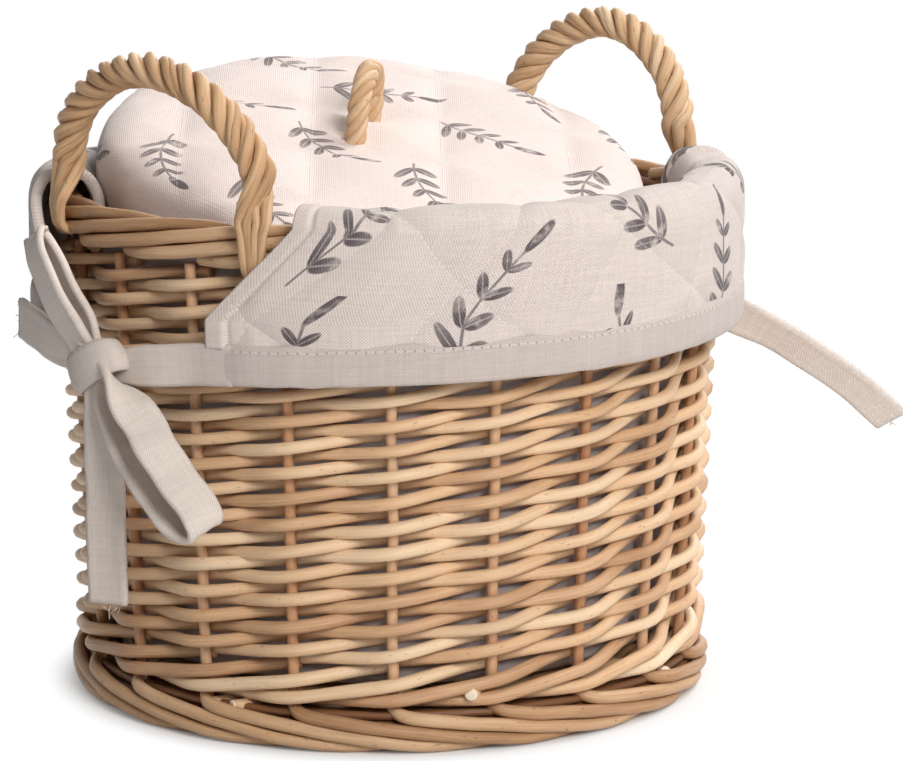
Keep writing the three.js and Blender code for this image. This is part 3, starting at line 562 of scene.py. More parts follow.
LID_LOOK = quilted_linen("lid_linen", (247, 233, 227), (226, 211, 205), (78, 64, 72), 0.92, 0.97,
                         LID_LAYOUT, LID_QUILT)
# Plain grey-lilac backing of the bag, kept darker than the liner's face as painted shade behind the wicker
SHADED_BACKING_LOOK = tape_linen("liner_backing_painted_shade", ((198, 188, 189), (166, 156, 157)))
UNDER_LOOK = tape_linen("lid_underside_linen", ((226, 216, 209), (200, 190, 182)))
BINDING_CLOTH = (207, 196, 190), (173, 162, 156)
BINDING_LOOK = tape_linen("binding_linen", BINDING_CLOTH, [2.3])
# The tape's cloth is lighter than the binding's as painted light on the bows; it starts at the binding's
# cloth
LIT_TAPE_LOOK = tape_linen("tape_linen", ((232, 221, 213), (196, 186, 178)), start=BINDING_CLOTH)


# Wall: twenty stakes and twenty rods in French randing

ROD_BEHIND, ROD_BEFORE = 0.15 - ROD_IN, ROD_OUT + 0.75    # offsets of a rod from the ring of stakes
ROD_HEAD, ROD_TAIL = 0.03, 0.16    # how far a rod reaches past its first and last stake, in stake intervals
ROD_UNEVEN, ROD_SWAY = 0.35, 0.2
STAKE_BOTTOM, STAKE_TOP, STAKE_STEPS = 13.0, 163.0, 40
SPRING_WEIGHTS = (1, 2, 3, 2, 1)


def wall_path(stations, per_interval):
    """A springy rod through stations: place among the stakes, radial offset and height."""
    place, offset, z = (np.array(c, float) for c in zip(*stations))
    at = polar(stake_ring(z) + offset, stake_angle(place), z)
    f = np.arange(per_interval) / per_interval
    ease = 0.5 * f + 0.5 * (1 - np.cos(np.pi * f)) / 2
    out = []
    for i in range(len(at) - 1):
        along = mix(at[i], at[i + 1], f[:, None])
        radial = unit(along * (1, 1, 0))
        out.append(along + radial * ((ease - f) * (offset[i + 1] - offset[i]))[:, None])
    path = np.vstack(out + [at[-1:]])
    eased = path.copy()
    shifted = (w * path[i:len(path) - 4 + i] for i, w in enumerate(SPRING_WEIGHTS))
    eased[2:-2] = sum(shifted) / sum(SPRING_WEIGHTS)
    return eased


course = (RAND_TOP - RAND_BOTTOM) / (RAND_PASSES - 1)
for rod in range(STAKES):
    stations = [(rod - ROD_HEAD, ROD_BEHIND, RAND_BOTTOM)]
    for s in range(RAND_PASSES):
        offset = ROD_BEFORE if s % 2 else ROD_BEHIND
        stations.append((rod + s, offset, RAND_BOTTOM + course * s + rng.normal() * ROD_UNEVEN))
    stations.append((rod + RAND_PASSES - 1 + ROD_TAIL, ROD_BEHIND, RAND_TOP))
    path = wall_path(stations, 8)
    path[:, 2] += wander(len(path), ROD_SWAY, 24)
    taper = np.linspace(1.10, 0.98, len(path))
    radius = ROD_RADIUS * taper + rng.normal() * 0.07 + wander(len(path), 0.07, 12)
    form = Form()
    tube(form, path, radius, rng.uniform(0.05, 0.8))
    form.make(f"wall_rod_{rod + 1:02d}", ROD_LOOK, "basket", "willow", f"rand_rod_{rod + 1:02d}")

for k in range(STAKES):
    z = np.linspace(STAKE_BOTTOM, STAKE_TOP, STAKE_STEPS)
    path = polar(stake_ring(z) + wander(STAKE_STEPS, 0.12), stake_angle(k) + wander(STAKE_STEPS, 0.1), z)
    form = Form()
    tube(form, path, STAKE_RADIUS * mix(1.04, 0.97, z / RIM_TOP), rng.uniform(), dome=0.1, first=(1, 0, 0))
    form.make(f"wall_stake_{k + 1:02d}", STAKE_LOOK, "basket", "willow", f"stake_{k + 1:02d}")

# Upsett: one round of three-rod wale, each float before two stakes and behind the next
WALE_RADIUS = 2.32
WALE_BEHIND = 0.2 - ROD_IN
WALE_STATIONS = [(-0.03, WALE_BEHIND, 15.9), (0, WALE_BEHIND, 16.1), (1, ROD_OUT + 0.7, 18.0),
                 (2, ROD_OUT + 1.0, 23.9), (3, WALE_BEHIND, 28.4), (3.03, WALE_BEHIND, 28.5)]
form = Form()
for k in range(STAKES):
    stations = []
    for d, offset, z in WALE_STATIONS:
        stations.append((k + d, offset, z + rng.normal() * 0.2 if offset > 0 else z))
    path = wall_path(stations, 9)
    tube(form, path, WALE_RADIUS + wander(len(path), 0.06), rng.uniform())
form.make("wale_band", ROD_LOOK, "basket", "willow", "upsett_wale")

# Cut ends of rods that show between the weaves: degrees round the basket, radius, height
CUT_ENDS = [(191, 111.0, 12.4), (196, 111.4, 12.7), (238.3, 113.4, 20.0), (17, 111.2, 12.5),
            (64, 111.4, 12.6), (101, 113.2, 20.4), (128, 111.2, 12.5), (284, 111.4, 12.6), (331, 113.3, 20.2)]
CUT_ROD_RADIUS = 2.2
form = Form()
for degrees, radius, z in CUT_ENDS:
    path = polar(radius - np.array([9.0, 6.0, 3.0, 0.0]), degrees + np.array([3.0, 2.0, 1.0, 0.0]), z)
    tube(form, path, CUT_ROD_RADIUS, 0.4, 12, 0.05)
    face = path[-1] + unit(path[-1] - path[-2]) * np.array([[-0.3], [0.0], [0.15]])
    tube(form, face, CUT_ROD_RADIUS + 0.02, CUT_FACE, 12, 0.08)
form.make("rod_ends", ROD_LOOK, "basket", "willow")


# Borders: every stake end is laid to the right along the next ones, round rings that fill the middle,
# darkened as painted shade in the gaps between the strands

# tone of the filler rings: dark willow painted as the shade in the gaps of the borders
FILLER_SHADE_TONE = -0.4


def laid_strand(form, k, stops, radius, cut):
    """One border strand from stake k; stops are (stake intervals to the right, radius, height)."""
    d, r, z = (np.array(c, float) for c in zip(*stops))
    path = spline(polar(r, stake_angle(k + d), z), 2.2)
    path[:, 2] += wander(len(path), 0.10)
    size = radius * np.linspace(1.05, 0.94, len(path)) + wander(len(path), 0.04)
    tube(form, path, size, rng.uniform(), dome=cut)


# Rings that fill the middle of a border, in the dark tone that is painted shade in its gaps
def painted_shade_fillers(form, *rings):
    for radius, z, size in rings:
        tube(form, spun(radius, around(120), z), size, FILLER_SHADE_TONE, 8, closed=True)


form = Form()
for k in range(STAKES):
    jog = rng.normal() * 0.15
    laid_strand(form, k, [
        (0.0, 106.7, 18.0), (0.01, 107.6, 14.6), (0.09, 110.6, 12.6), (0.30, 112.7, 11.6 + jog),
        (0.75, 113.1, 9.6 + jog), (1.25, 113.0, 7.3 + jog), (1.75, 112.9, 5.0), (2.2, 112.2, 3.0),
        (2.55, 110.6, 2.45), (2.9, 108.2, 2.35), (3.25 + jog, 105.4, 2.35)], 2.25, 0.08)
painted_shade_fillers(form, (108.2, 7.8, 2.6), (104.4, 6.9, 2.7), (103.6, 11.2, 2.1), (108.4, 12.2, 1.6))
form.make("foot_weave", BORDER_LOOK, "basket", "willow", "foot_border")

form = Form()
for k in range(STAKES):
    jog = rng.normal() * 0.10
    laid_strand(form, k, [
        (0.10, 111.4, 164.6), (0.30, 113.6, 164.8), (0.52, 116.2, 165.3), (0.8, 117.5, 166.5 + jog),
        (1.2, 117.8, 168.5), (1.6, 117.8, 170.5 + jog), (2.0, 117.4, 172.5), (2.4, 116.4, 174.4),
        (2.8, 114.5, 175.6), (3.2, 112.1, 175.7), (3.6 + jog, 110.2, 174.2)], 2.28, 0.10)
painted_shade_fillers(form, (RING_RIM - 0.6, BORDER_MIDDLE - 1.0, 2.6), (110.2, 166.6, 2.2), (110.0, 170.6, 1.9))
form.make("rim_weave", BORDER_LOOK, "basket", "willow", "rim_border")


# Bottom: crossed sticks with rounds of paired weaving on spokes, and a thin disc that closes the gaps

STICK_PITCH, STICK_RADIUS, STICK_CROSSING = 5.0, 2.1, 0.9
SPOKES, SPOKE_RADIUS = 28, 1.5
WEAVE_START, WEAVE_ROUNDS, WEAVE_RADIUS, WEAVE_SWING = 15.0, 21, 2.05, 1.95
DISC_RADIUS, DISC_HALF = 94.0, 0.4
BASE_MIDDLE = BASE_UNDERSIDE + BASE_THICKNESS / 2

form = Form()
for turn, lift in ((0, -STICK_CROSSING), (90, STICK_CROSSING)):
    c, s = cos_sin(turn)
    for i in (-1, 0, 1):
        reach = math.sqrt((BASE_RADIUS - 2) ** 2 - (STICK_PITCH * i) ** 2)
        line = np.linspace((-reach, STICK_PITCH * i, 0), (reach, STICK_PITCH * i, 0), 40)
        line = line @ np.array([[c, s, 0], [-s, c, 0], [0, 0, 1]]) + (0, 0, BASE_MIDDLE + lift)
        tube(form, line, STICK_RADIUS, rng.uniform(), dome=0.1)
form.make("bottom_sticks", BASE_LOOK, "basket", "willow", "base_sticks")

form = Form()
for tone, phase in ((0.35, 0.0), (0.65, math.pi)):
    angle = np.linspace(0, 2 * np.pi * WEAVE_ROUNDS, WEAVE_ROUNDS * SPOKES * 5)
    radius = np.linspace(WEAVE_START, BASE_RADIUS - 2.2, len(angle))
    swing = WEAVE_SWING * np.sin(angle * SPOKES / 2 + phase)
    tube(form, spun(radius, angle, BASE_MIDDLE + swing), WEAVE_RADIUS, tone, 8)
rings = []
for half, radii in ((-DISC_HALF, (0.5, 60.0, DISC_RADIUS)), (DISC_HALF, (DISC_RADIUS, 60.0, 0.5))):
    rings += [spun(radius, around(60), BASE_MIDDLE + half) for radius in radii]
skin(form, np.stack(rings), 0.1, np.linspace(0, 190, 6), np.linspace(0, 300, 61))
for k in range(SPOKES):
    line = spun(np.linspace(WEAVE_START, BASE_RADIUS - 1.5, 20), 2 * np.pi * (k + 0.5) / SPOKES, BASE_MIDDLE)
    tube(form, line, SPOKE_RADIUS, 0.5, 8, 0.1)
form.make("bottom_weave", BASE_LOOK, "basket", "willow", "base_weave")


# Handles: four strands laid into a rope, opened at the feet over the border

HANDLE_STRANDS, HANDLE_TURNS, HANDLE_REACH = 4, 4.7, 3.75
HANDLE_LEAN = 7.0
LEG_INSET, LEG_FOOT, WRAP_OUT = 2.8, 5.76, 2.7
STRAND_AT_FOOT, STRAND_AT_ARCH = 1.7, 2.5
THIN_RODS, THIN_REACH, THIN_RADIUS = 3, 0.30, 0.70    # the last two as shares of the strand's size
FOOT_STOPS = [(-0.8, 0.0), (0.0, 4.2), (0.0, 10.7), (-0.7, 17.0), (-4.4, 20.6)]    # distance out and fall
FOOT_TOP, FRONT_FOOT_FALL = RIM_TOP + 2.2, 0.62
FOOT_PITCH, FOOT_CLOSING = 3.1, 0.5    # between a foot's strands at its top, and how much less at each stop
SWELL_BOTTOM, SWELL_LENGTH = 172.0, 18.0    # where a strand thickens from its foot to the arch


def rope_strands(path, count, turns, reach, lead, first):
    """Centre lines of the strands of a rope along the path."""
    normal, side = carried_frames(path, first)
    t = arc_length(path) / arc_length(path)[-1]
    lines = []
    for i in range(count):
        a = 2 * np.pi * (turns * t + i / count) + lead
        lines.append(path + reach * (np.cos(a)[:, None] * normal + np.sin(a)[:, None] * side))
    return lines


def handle(name, node, turn, span, crest):
    half = span / 2
    leg_x = math.sqrt((BORDER_OUTER - LEG_INSET) ** 2 - half**2)
    wrap_x = math.sqrt((BORDER_OUTER + WRAP_OUT) ** 2 - half**2)
    a = np.linspace(0, np.pi, 240)
    arch_z = RIM_TOP + LEG_FOOT + (crest - LEG_FOOT) * np.sin(a) ** 0.9
    arch = np.stack([leg_x + HANDLE_LEAN * np.sin(a), -half * signed_power(np.cos(a), 1.12), arch_z], 1)
    lines = rope_strands(evenly(arch, 1.3), HANDLE_STRANDS, HANDLE_TURNS, HANDLE_REACH, 0.5, (1, 0, 0))
    feet = {}
    for end, sense in ((0, -1), (-1, 1)):
        across = unit((-sense * half, wrap_x, 0.0))
        base = np.array([wrap_x, sense * half, 0.0])
        fall = FRONT_FOOT_FALL if sense < 0 else 1.0
        for rank, strand in enumerate(np.argsort([line[end] @ across for line in lines])):
            feet[strand, end] = []
            for j, (out, down) in enumerate(FOOT_STOPS):
                spread = across * (rank - (HANDLE_STRANDS - 1) / 2) * (FOOT_PITCH - FOOT_CLOSING * j)
                feet[strand, end].append(base + spread + unit(base) * out + (0, 0, FOOT_TOP - fall * down))
    form = Form()
    for i, line in enumerate(lines):
        whole = spline(np.vstack([feet[i, 0][::-1], line[6:-6:3], feet[i, -1]]), 1.3)
        grown = smooth((whole[:, 2] - SWELL_BOTTOM) / SWELL_LENGTH)
        size = mix(STRAND_AT_FOOT, STRAND_AT_ARCH, grown)
        shade = rng.uniform(0.2, 0.8)
        lead = rng.uniform(0, 6.3)
        for thin in rope_strands(whole, THIN_RODS, 3.0, THIN_REACH * size[:, None], lead, (1, 0, 0)):
            radius = THIN_RADIUS * size + wander(len(whole), 0.05, 12)
            tube(form, thin, radius, shade + rng.uniform(-0.2, 0.2), 10, 0.15, (1, 0, 0), lobes=0.05)
    form.place((0, 0, turn)).make(name, ROPE_LOOK, "basket", "twisted_willow", node)


handle("handle_rope_right", "handle_right", 0, 84.0, 50.0)
handle("handle_rope_left", "handle_left", 180, 97.0, 48.0)


# Quilted liner

BAG_PUFF, CUFF_PUFF = 1.5, 1.55
BAG_SOFTNESS, CUFF_SOFTNESS, LID_SOFTNESS = 6.0, 3.6, 6.0    # how gently the cloth falls to a quilting row
BAG_PRINT_RADIUS = 104.0    # where the print keeps its size round the bag
FACING_WIDTH, FACING_EDGE = 7.0, 0.9


def quilt_puff(u, v, rows, softness):
    """0 on a quilting row and 1 between the rows."""
    turn, offset = rows
    c, s = cos_sin(turn)
    gaps = []
    for q in (u * c + v * s + offset, v * c - u * s + offset):
        gaps.append(np.abs(q - QUILT_PITCH * np.round(q / QUILT_PITCH)))
    near = np.minimum(*gaps) / softness
    return 1 - np.exp(-near) * (1 + 0.35 * near)


def ripples(u, v, sizes, height):
    """Soft random unevenness of padded cloth."""
    out = np.zeros(np.broadcast(u, v).shape)
    for size in sizes:
        for _ in range(4):
            a, p = rng.uniform(0, 6.3, 2)
            wave = np.sin((u * math.cos(a) + v * math.sin(a)) * 6.28 / size + p)
            out = out + wave * height / 4 * (size / sizes[0])
    return out


def bag_outer(z):
    return np.minimum(stake_ring(z) - ROD_IN - ROD_RADIUS, RING_RIM - BORDER_HALF_WIDTH) - 0.5


def make_bag():
    columns = 300
    low = bag_outer(BAG_FLOOR)
    stops = [(2.0, 0.0), (low - 30, 0.0), (low - 9, 0.2), (low - 2.7, 2.7)]
    stops += [(bag_outer(z), z - BAG_FLOOR) for z in (BAG_FLOOR + 9, 100, BAG_TOP)]
    profile = evenly(spline([(r, 0, BAG_FLOOR + rise) for r, rise in stops], 2.0), 2.2)
    slope_r, slope_z = np.gradient(profile[:, 0]), np.gradient(profile[:, 2])
    inward = unit(np.stack([-slope_z, np.zeros(len(profile)), slope_r], 1))
    angle = np.radians(np.linspace(0, 360, columns + 1))[:, None]
    u, v = np.broadcast_arrays(angle * BAG_PRINT_RADIUS, arc_length(profile)[None])
    puff = quilt_puff(u, v, CUFF_QUILT, BAG_SOFTNESS) * smooth((profile[:, 0] - 20) / 30)[None]
    sides = []
    for offset in (BAG_THICKNESS - BAG_PUFF + BAG_PUFF * puff, np.zeros_like(puff)):
        r, z = (profile[None, :, k] + inward[None, :, k] * offset for k in (0, 2))
        sides.append(spun(r, angle, z))
    form = Form()
    sheet_grid(form, *sides, u, v)
    bag = form.make("liner_bag_cloth", BAG_LOOK, "liner", "linen", "liner_bag")
    # the outer side, seen through the wicker, gets the darker backing: painted shade behind the rods
    bag.data.materials.append(SHADED_BACKING_LOOK)
    side = columns * (len(profile) - 1)
    for face in bag.data.polygons[side:2 * side]:
        face.material_index = 1


def hem_height(end):
    return RIM_TOP - mix(DROP_NEAR, DROP_FAR, end)


def half_angle(z):
    return 90 - mix(FOLD_END, HEM_END, np.clip((RIM_TOP - z) / CORNER_DROP, 0, 1))


def flap_radius(end):
    corner = smooth(1.1 - np.minimum(end, 1 - end) / 0.2)
    return mix(FLAP_RADIUS, FLAP_END_RADIUS, corner)


def cuff_line(end, hem):
    """Cloth's middle from the bag over the border and down to the hem, as (radius, 0, height) rows."""
    t = CUFF_THICKNESS
    inner = bag_outer(BAG_TOP) - BAG_THICKNESS / 2
    crest = RIM_TOP + t / 2 + FOLD_LIFT + LOOSE_LIFT * end
    flap = flap_radius(end)
    shoulder = RIM_TOP - 0.78 * 2 * BORDER_HALF_HEIGHT
    return spline([
        (inner, 0, BAG_TOP + 0.3), (inner, 0, RIM_TOP - 0.45 * t), (inner + 1.05 * t, 0, crest - 0.47 * t),
        (RING_RIM, 0, crest), (flap - 1.47 * t, 0, crest - 0.24 * t), (flap - 0.3 * t, 0, RIM_TOP - 0.3 * t),
        (flap, 0, shoulder), (flap + 0.12 * t, 0, mix(shoulder, hem, 0.5)), (flap, 0, hem)], 1.2)


def make_cuff(side, turn):
    columns, rows = 400, 90
    grid = np.empty((columns, rows, 3))
    v = np.empty((columns, rows))
    ends = np.linspace(0, 1, columns)
    for i, end in enumerate(ends):
        line = cuff_line(end, hem_height(end) + BINDING_WIDTH - 1.5)
        along = arc_length(line)
        v[i] = np.linspace(0, along[-1], rows)
        r, z = np.interp(v[i], along, line[:, 0]), np.interp(v[i], along, line[:, 2])
        slant = np.where(np.arange(rows) < np.argmax(z), RIM_TOP, np.minimum(z, RIM_TOP))
        half = half_angle(slant)
        grid[i] = polar(r, -90 + mix(-half, half, end), z)
    u = np.broadcast_to((ends * HEM_LENGTH)[:, None], v.shape)
    normal = surface_normals(grid)
    normal *= np.sign((normal[columns // 2, -5] * grid[columns // 2, -5]).sum())
    edge = np.minimum(ends, 1 - ends)[:, None] * HEM_LENGTH
    facing = smooth((FACING_WIDTH - edge) / FACING_EDGE)
    crease = np.exp(-(((edge - FACING_WIDTH - 0.4) / FACING_EDGE) ** 2))
    puff = quilt_puff(u, v, CUFF_QUILT, CUFF_SOFTNESS) * (1 - facing) + 0.75 * facing
    lumps = ripples(u, v, (38.0, 21.0), 0.45) * (1 - facing)
    rise = CUFF_THICKNESS / 2 - 1.45 + CUFF_PUFF * puff + 0.75 * facing - 0.8 * crease + lumps
    form = Form()
    inner = grid - normal * (CUFF_THICKNESS / 2)
    sheet_grid(form, grid + normal * rise[..., None], inner, u + 21.0 * (turn > 0), v)
    return form.place((0, 0, turn)).make(f"cuff_cloth_{side}", CUFF_LOOK, "liner", "linen", f"cuff_{side}")


def make_binding(side, turn):
    steps, sides = 240, 28
    rings = np.empty((steps, sides, 3))
    ends = np.linspace(0, 1, steps)
    a = around(sides)
    lift = signed_power(np.sin(a), 0.55) * BINDING_WIDTH / 2
    out = signed_power(np.cos(a), 0.7) * BINDING_THICKNESS / 2
    wave = wander(steps, 0.18, 24)
    half = half_angle(RIM_TOP - DROP_NEAR)
    for i, end in enumerate(ends):
        z = hem_height(end) + BINDING_WIDTH / 2 + wave[i]
        r = flap_radius(end) + wave[i] * 0.8
        full = mix(0.3, 1.0, smooth(min(end, 1 - end) * 22))
        rings[i] = polar(r + out * full, -90 + mix(-half, half, end), z + lift)
    form = Form()
    skin(form, rings, 0.5, ends * HEM_LENGTH, BINDING_WIDTH / 2 - np.append(lift, lift[0]))
    form.place((0, 0, turn))
    return form.make(f"cuff_binding_{side}", BINDING_LOOK, "liner", "binding_tape", f"binding_{side}")


make_bag()
for side, turn in (("front", 0), ("back", 180)):
    cuff = make_cuff(side, turn)
    binding = make_binding(side, turn)


# Tapes tied in bows

TAPE_THICKNESS, TAPE_LIGHT_BLEND = 2.1, 34.0    # the blend is the length over which the binding's colour fades into the tape's lighter colour, painted light on the bows
THREAD_RADIUS = 0.13
KNOT_HALF_LENGTH, KNOT_HALF_DEPTH, KNOT_HALF_WIDTH, KNOT_CLOTH = 10.8, 5.6, 5.6, 0.8


def flat_section(k, top, bottom):
    """Outline of a tape's section, as places across it and heights, over the top and back underneath."""
    return np.concatenate([np.stack([k, top], 1), np.stack([k, bottom], 1)[::-1]])


def section_uv(k):
    return np.concatenate([k + 1, k[::-1] + 1, [0.0]]) * TAPE_WIDTH / 2


def ribbon(form, path, across, width, thick):
    """A flat tape along the path, with a thicker sewn edge on both sides."""
    tangent = unit(np.gradient(path, axis=0))
    across = unit(across - tangent * (across * tangent).sum(1, keepdims=True))
    normal = np.cross(tangent, across)
    k = np.linspace(-1, 1, 11)
    bead = 1 + 0.3 * (np.abs(k) > 0.75) - 0.45 * (np.abs(k) > 0.95)
    section = flat_section(k, bead, -bead)
    rings = (path[:, None] + width[:, None, None] / 2 * section[None, :, :1] * across[:, None]
             + thick[:, None, None] / 2 * section[None, :, 1:] * normal[:, None])
    # tone along the tape: the binding's colour at its start, then the lighter tape colour painted as light on
    # the bows
    tone = np.repeat(smooth(arc_length(path) / TAPE_LIGHT_BLEND), len(section))
    skin(form, rings, np.concatenate([tone, tone[:1], tone[-1:]]), arc_length(path), section_uv(k))
    return tangent, across


def threads(form, end, direction, across, count):
    """A few loose threads at a cut end."""
    for _ in range(count):
        start = end + across * rng.uniform(-5.5, 5.5)
        out = unit(direction + across * rng.normal() * 0.35 + rng.normal(size=3) * 0.2)
        drift = rng.normal(size=3) * 1.2
        n = rng.uniform(1.5, 4.5)
        line = spline([start - out * 0.5, start + out * n * 0.5, start + out * n + drift * 0.5], 0.6)
        tube(form, line, THREAD_RADIUS, 0.6, 5)


# A tape's stops, grouped by the way its width points, as parts outward, along the rim and up:
# degrees and height from the knot, and distance off the tape circle
UPRIGHT, LEVEL, SLANTED = (0, 0, 1), (-0.45, 0.9, 0), (0.08, 0.89, 0.45)
ON_EDGE, FACING, OPEN = (0.9, -0.35, -0.28), (0.8, -0.42, -0.42), (0.3, -0.66, 0.67)
NEAR_TAPE = [
    (UPRIGHT, (23, 4, -3.3), (18, 3.7, -2.4), (10, 2, -0.2)),
    ((0, 0.5, 0.85), (0, 0, 0.4)),
    (SLANTED, (-4.5, 12, 0.6), (-9.5, 25, 1.2), (-13.5, 36, 2.8), (-14.5, 39.5, 5.6), (-12, 34, 8.3),
     (-7.5, 21, 7.8), (-3, 8, 5.8)),
    (LEVEL, (0, -2, 4.4), (1.2, -15, 3.4), (0.8, -49, 2.2), (0.4, -82, 1.0))]
FAR_LOOP = [
    (UPRIGHT, (-19.5, 12.3, -3.3), (-14.5, 11.4, -2.0), (-8, 7.5, 1.2)),
    ((0.5, 0, 0.85), (0, 0, 2.0)),
    ((0.9, 0, 0.4), (2, -13, 2.6)),
    (ON_EDGE, (8, -28, 4.6), (13.5, -41, 6.8), (18, -48.5, 9.2)),
    (FACING, (21.6, -48, 11.6), (21.2, -42, 12.4), (16.4, -29, 11.6), (10.3, -12.5, 9.4))]
FAR_TAIL = [
    ((0.6, 0, 0.8), (4.2, -2, 6.8)),
    (UPRIGHT, (-2, 2.5, 5.4), (-8.5, 4.5, 5.2), (-15, 7.5, 5.4), (-21.5, 9, 5.8))]
STANDING_TAIL = [
    (UPRIGHT, (-3, -3, 6.0), (-9, -5, 7.3)),
    ((0.3, -0.2, 0.9), (-15, -9, 13.2)),
    (OPEN, (-19, -17, 28.0), (-21, -35.5, 56.0), (-20.5, -54, 79.0))]


def tape_line(stops, knot):
    """Centre line of a tape and the way its width points along it."""
    corners, ways = [], []
    for (outward, east, up), *group in stops:
        for turn, rise, lift in group:
            at = knot + turn
            corners.append(polar(TAPE_RADIUS + lift, at, KNOT_HEIGHT + rise))
            ways.append(outward * polar(1, at, 0) + east * polar(1, at + 90, 0) + (0, 0, up))
    path = evenly(spline(corners, 1.5), 2.0)
    along = arc_length(path)
    place = [along[np.argmin(np.linalg.norm(path - corner, axis=1))] for corner in corners]
    return path, np.stack([np.interp(along, place, way) for way in np.transpose(ways)], 1)


def make_tie(name, node, stops, knot, loose):
    path, across = tape_line(stops, knot)
    near = np.linalg.norm(path - polar(TAPE_RADIUS + 3.0, knot, KNOT_HEIGHT), axis=1)
    gather = np.exp(-((near / 12.0) ** 2))
    width = TAPE_WIDTH * (1 - 0.4 * gather)
    thick = TAPE_THICKNESS + 0.6 * gather + wander(len(path), 0.06, 12)
    path = path + unit(path * (1, 1, 0)) * wander(len(path), 0.3, 14)[:, None]
    form = Form()
    tangent, across = ribbon(form, path, across, width, thick)
    threads(form, path[-1], tangent[-1], across[-1], loose)
    tie = form.make(name, LIT_TAPE_LOOK, "liner", "binding_tape", node)
    length = float(arc_length(path)[-1]) * MM
    return tie, path, length


def make_knot(name, knot):
    """The band of tape that goes round the crossing."""
    radial, east = polar(1, knot, 0), polar(1, knot + 90, 0)
    slant = unit(east * 0.87 + np.array([0, 0, 0.5]))
    over = np.cross(radial, slant)
    a = around(60)[:, None]
    centre = polar(TAPE_RADIUS + 3.6, knot + 0.6, KNOT_HEIGHT - 0.5)
    path = centre + slant * signed_power(np.cos(a), 0.75) * KNOT_HALF_LENGTH
    path += radial * signed_power(np.sin(a), 0.9) * KNOT_HALF_DEPTH + over * np.sin(a) * 0.8
    outward = unit(path - centre)
    k = np.linspace(-1, 1, 9)
    bow = 1.3 * (1 - k**2)
    wide = KNOT_HALF_WIDTH + 0.8 * np.sin(a) + wander(60, 0.15)[:, None]
    section = flat_section(k, bow + KNOT_CLOTH, bow - KNOT_CLOTH)
    rings = path[:, None] + over * (section[:, :1] * wide[:, None]) + outward[:, None] * section[:, 1:]
    form = Form()
    # tone 0.5: the knot's band is half way to the tape's painted light
    skin(form, rings, 0.5, arc_length(path), section_uv(k), closed=True)
    return form.make(name, LIT_TAPE_LOOK, "liner", "binding_tape")


for side, knot, first, second, loose in (
        ("left", KNOT_ANGLE, ("front", NEAR_TAPE), ("back", FAR_LOOP + FAR_TAIL), 7),
        ("right", KNOT_ANGLE + 180, ("back", NEAR_TAPE), ("front", FAR_LOOP + STANDING_TAIL), 4)):
    band = make_knot(f"bow_knot_{side}", knot)
    for n, (cuff, stops) in enumerate((first, second)):
        tie, path, length = make_tie(f"bow_tape_{side}_{cuff}", f"tie_{side}_{cuff}", stops, knot, loose)
        (path[0] * MM).tolist()
        (path * MM).tolist()
        [band] if n == 0 else []


# Padded lid: a slack cushion swollen by a cloth simulation, with its quilting drawn in after that

SIM_VOXEL, SIM_PRESSURE, SIM_FRAMES, SIM_CAP = 4.5, 160.0, 20, 6.0
LID_SLACK = 2.0    # how much flatter the cushion is before it swells
LID_PUFF, DIMPLE_DEPTH, DIMPLE_RADIUS = 2.0, 3.2, 10.0
GATHERS, WIDE_GATHERS = 38, 23    # folds round the lid's edge
UNDERSIDE_RADIUS = 87.6
LOOP_STRANDS, LOOP_TURNS, LOOP_SEAT = 4, 5.6, 5.9


def lid_section(crown_height):
    """Half section from the crown's middle over the rolled edge to the core, as (radius, 0, height) rows."""
    across = LID_RADIUS * (1 - np.linspace(1, 0, 80) ** 1.5)
    crown = crown_height * (1 - (across / LID_RADIUS) ** LID_FULLNESS) ** (1 / LID_FULLNESS)
    a = np.radians(np.linspace(0, 90, 26)[1:])
    edge = LID_RADIUS - LID_CORE_EDGE - 3.0
    rolled = np.stack([LID_CORE_EDGE + 3.0 + edge * np.cos(a) ** 0.9, -LID_DEPTH * np.sin(a)], 1)
    rows = np.concatenate([np.stack([across, crown], 1), rolled, [[1.0, -LID_DEPTH]]])
    return np.insert(rows, 1, 0, axis=1)


def applied(obj):
    """Gives the object the mesh that its modifiers leave, and removes them."""
    obj.data = bpy.data.meshes.new_from_object(obj.evaluated_get(bpy.context.evaluated_depsgraph_get()))
    obj.modifiers.clear()


def points_of(obj, kind="co"):
    out = np.empty(len(obj.data.vertices) * 3, np.float32)
    obj.data.vertices.foreach_get(kind, out)
    return out.reshape(-1, 3).astype(float)


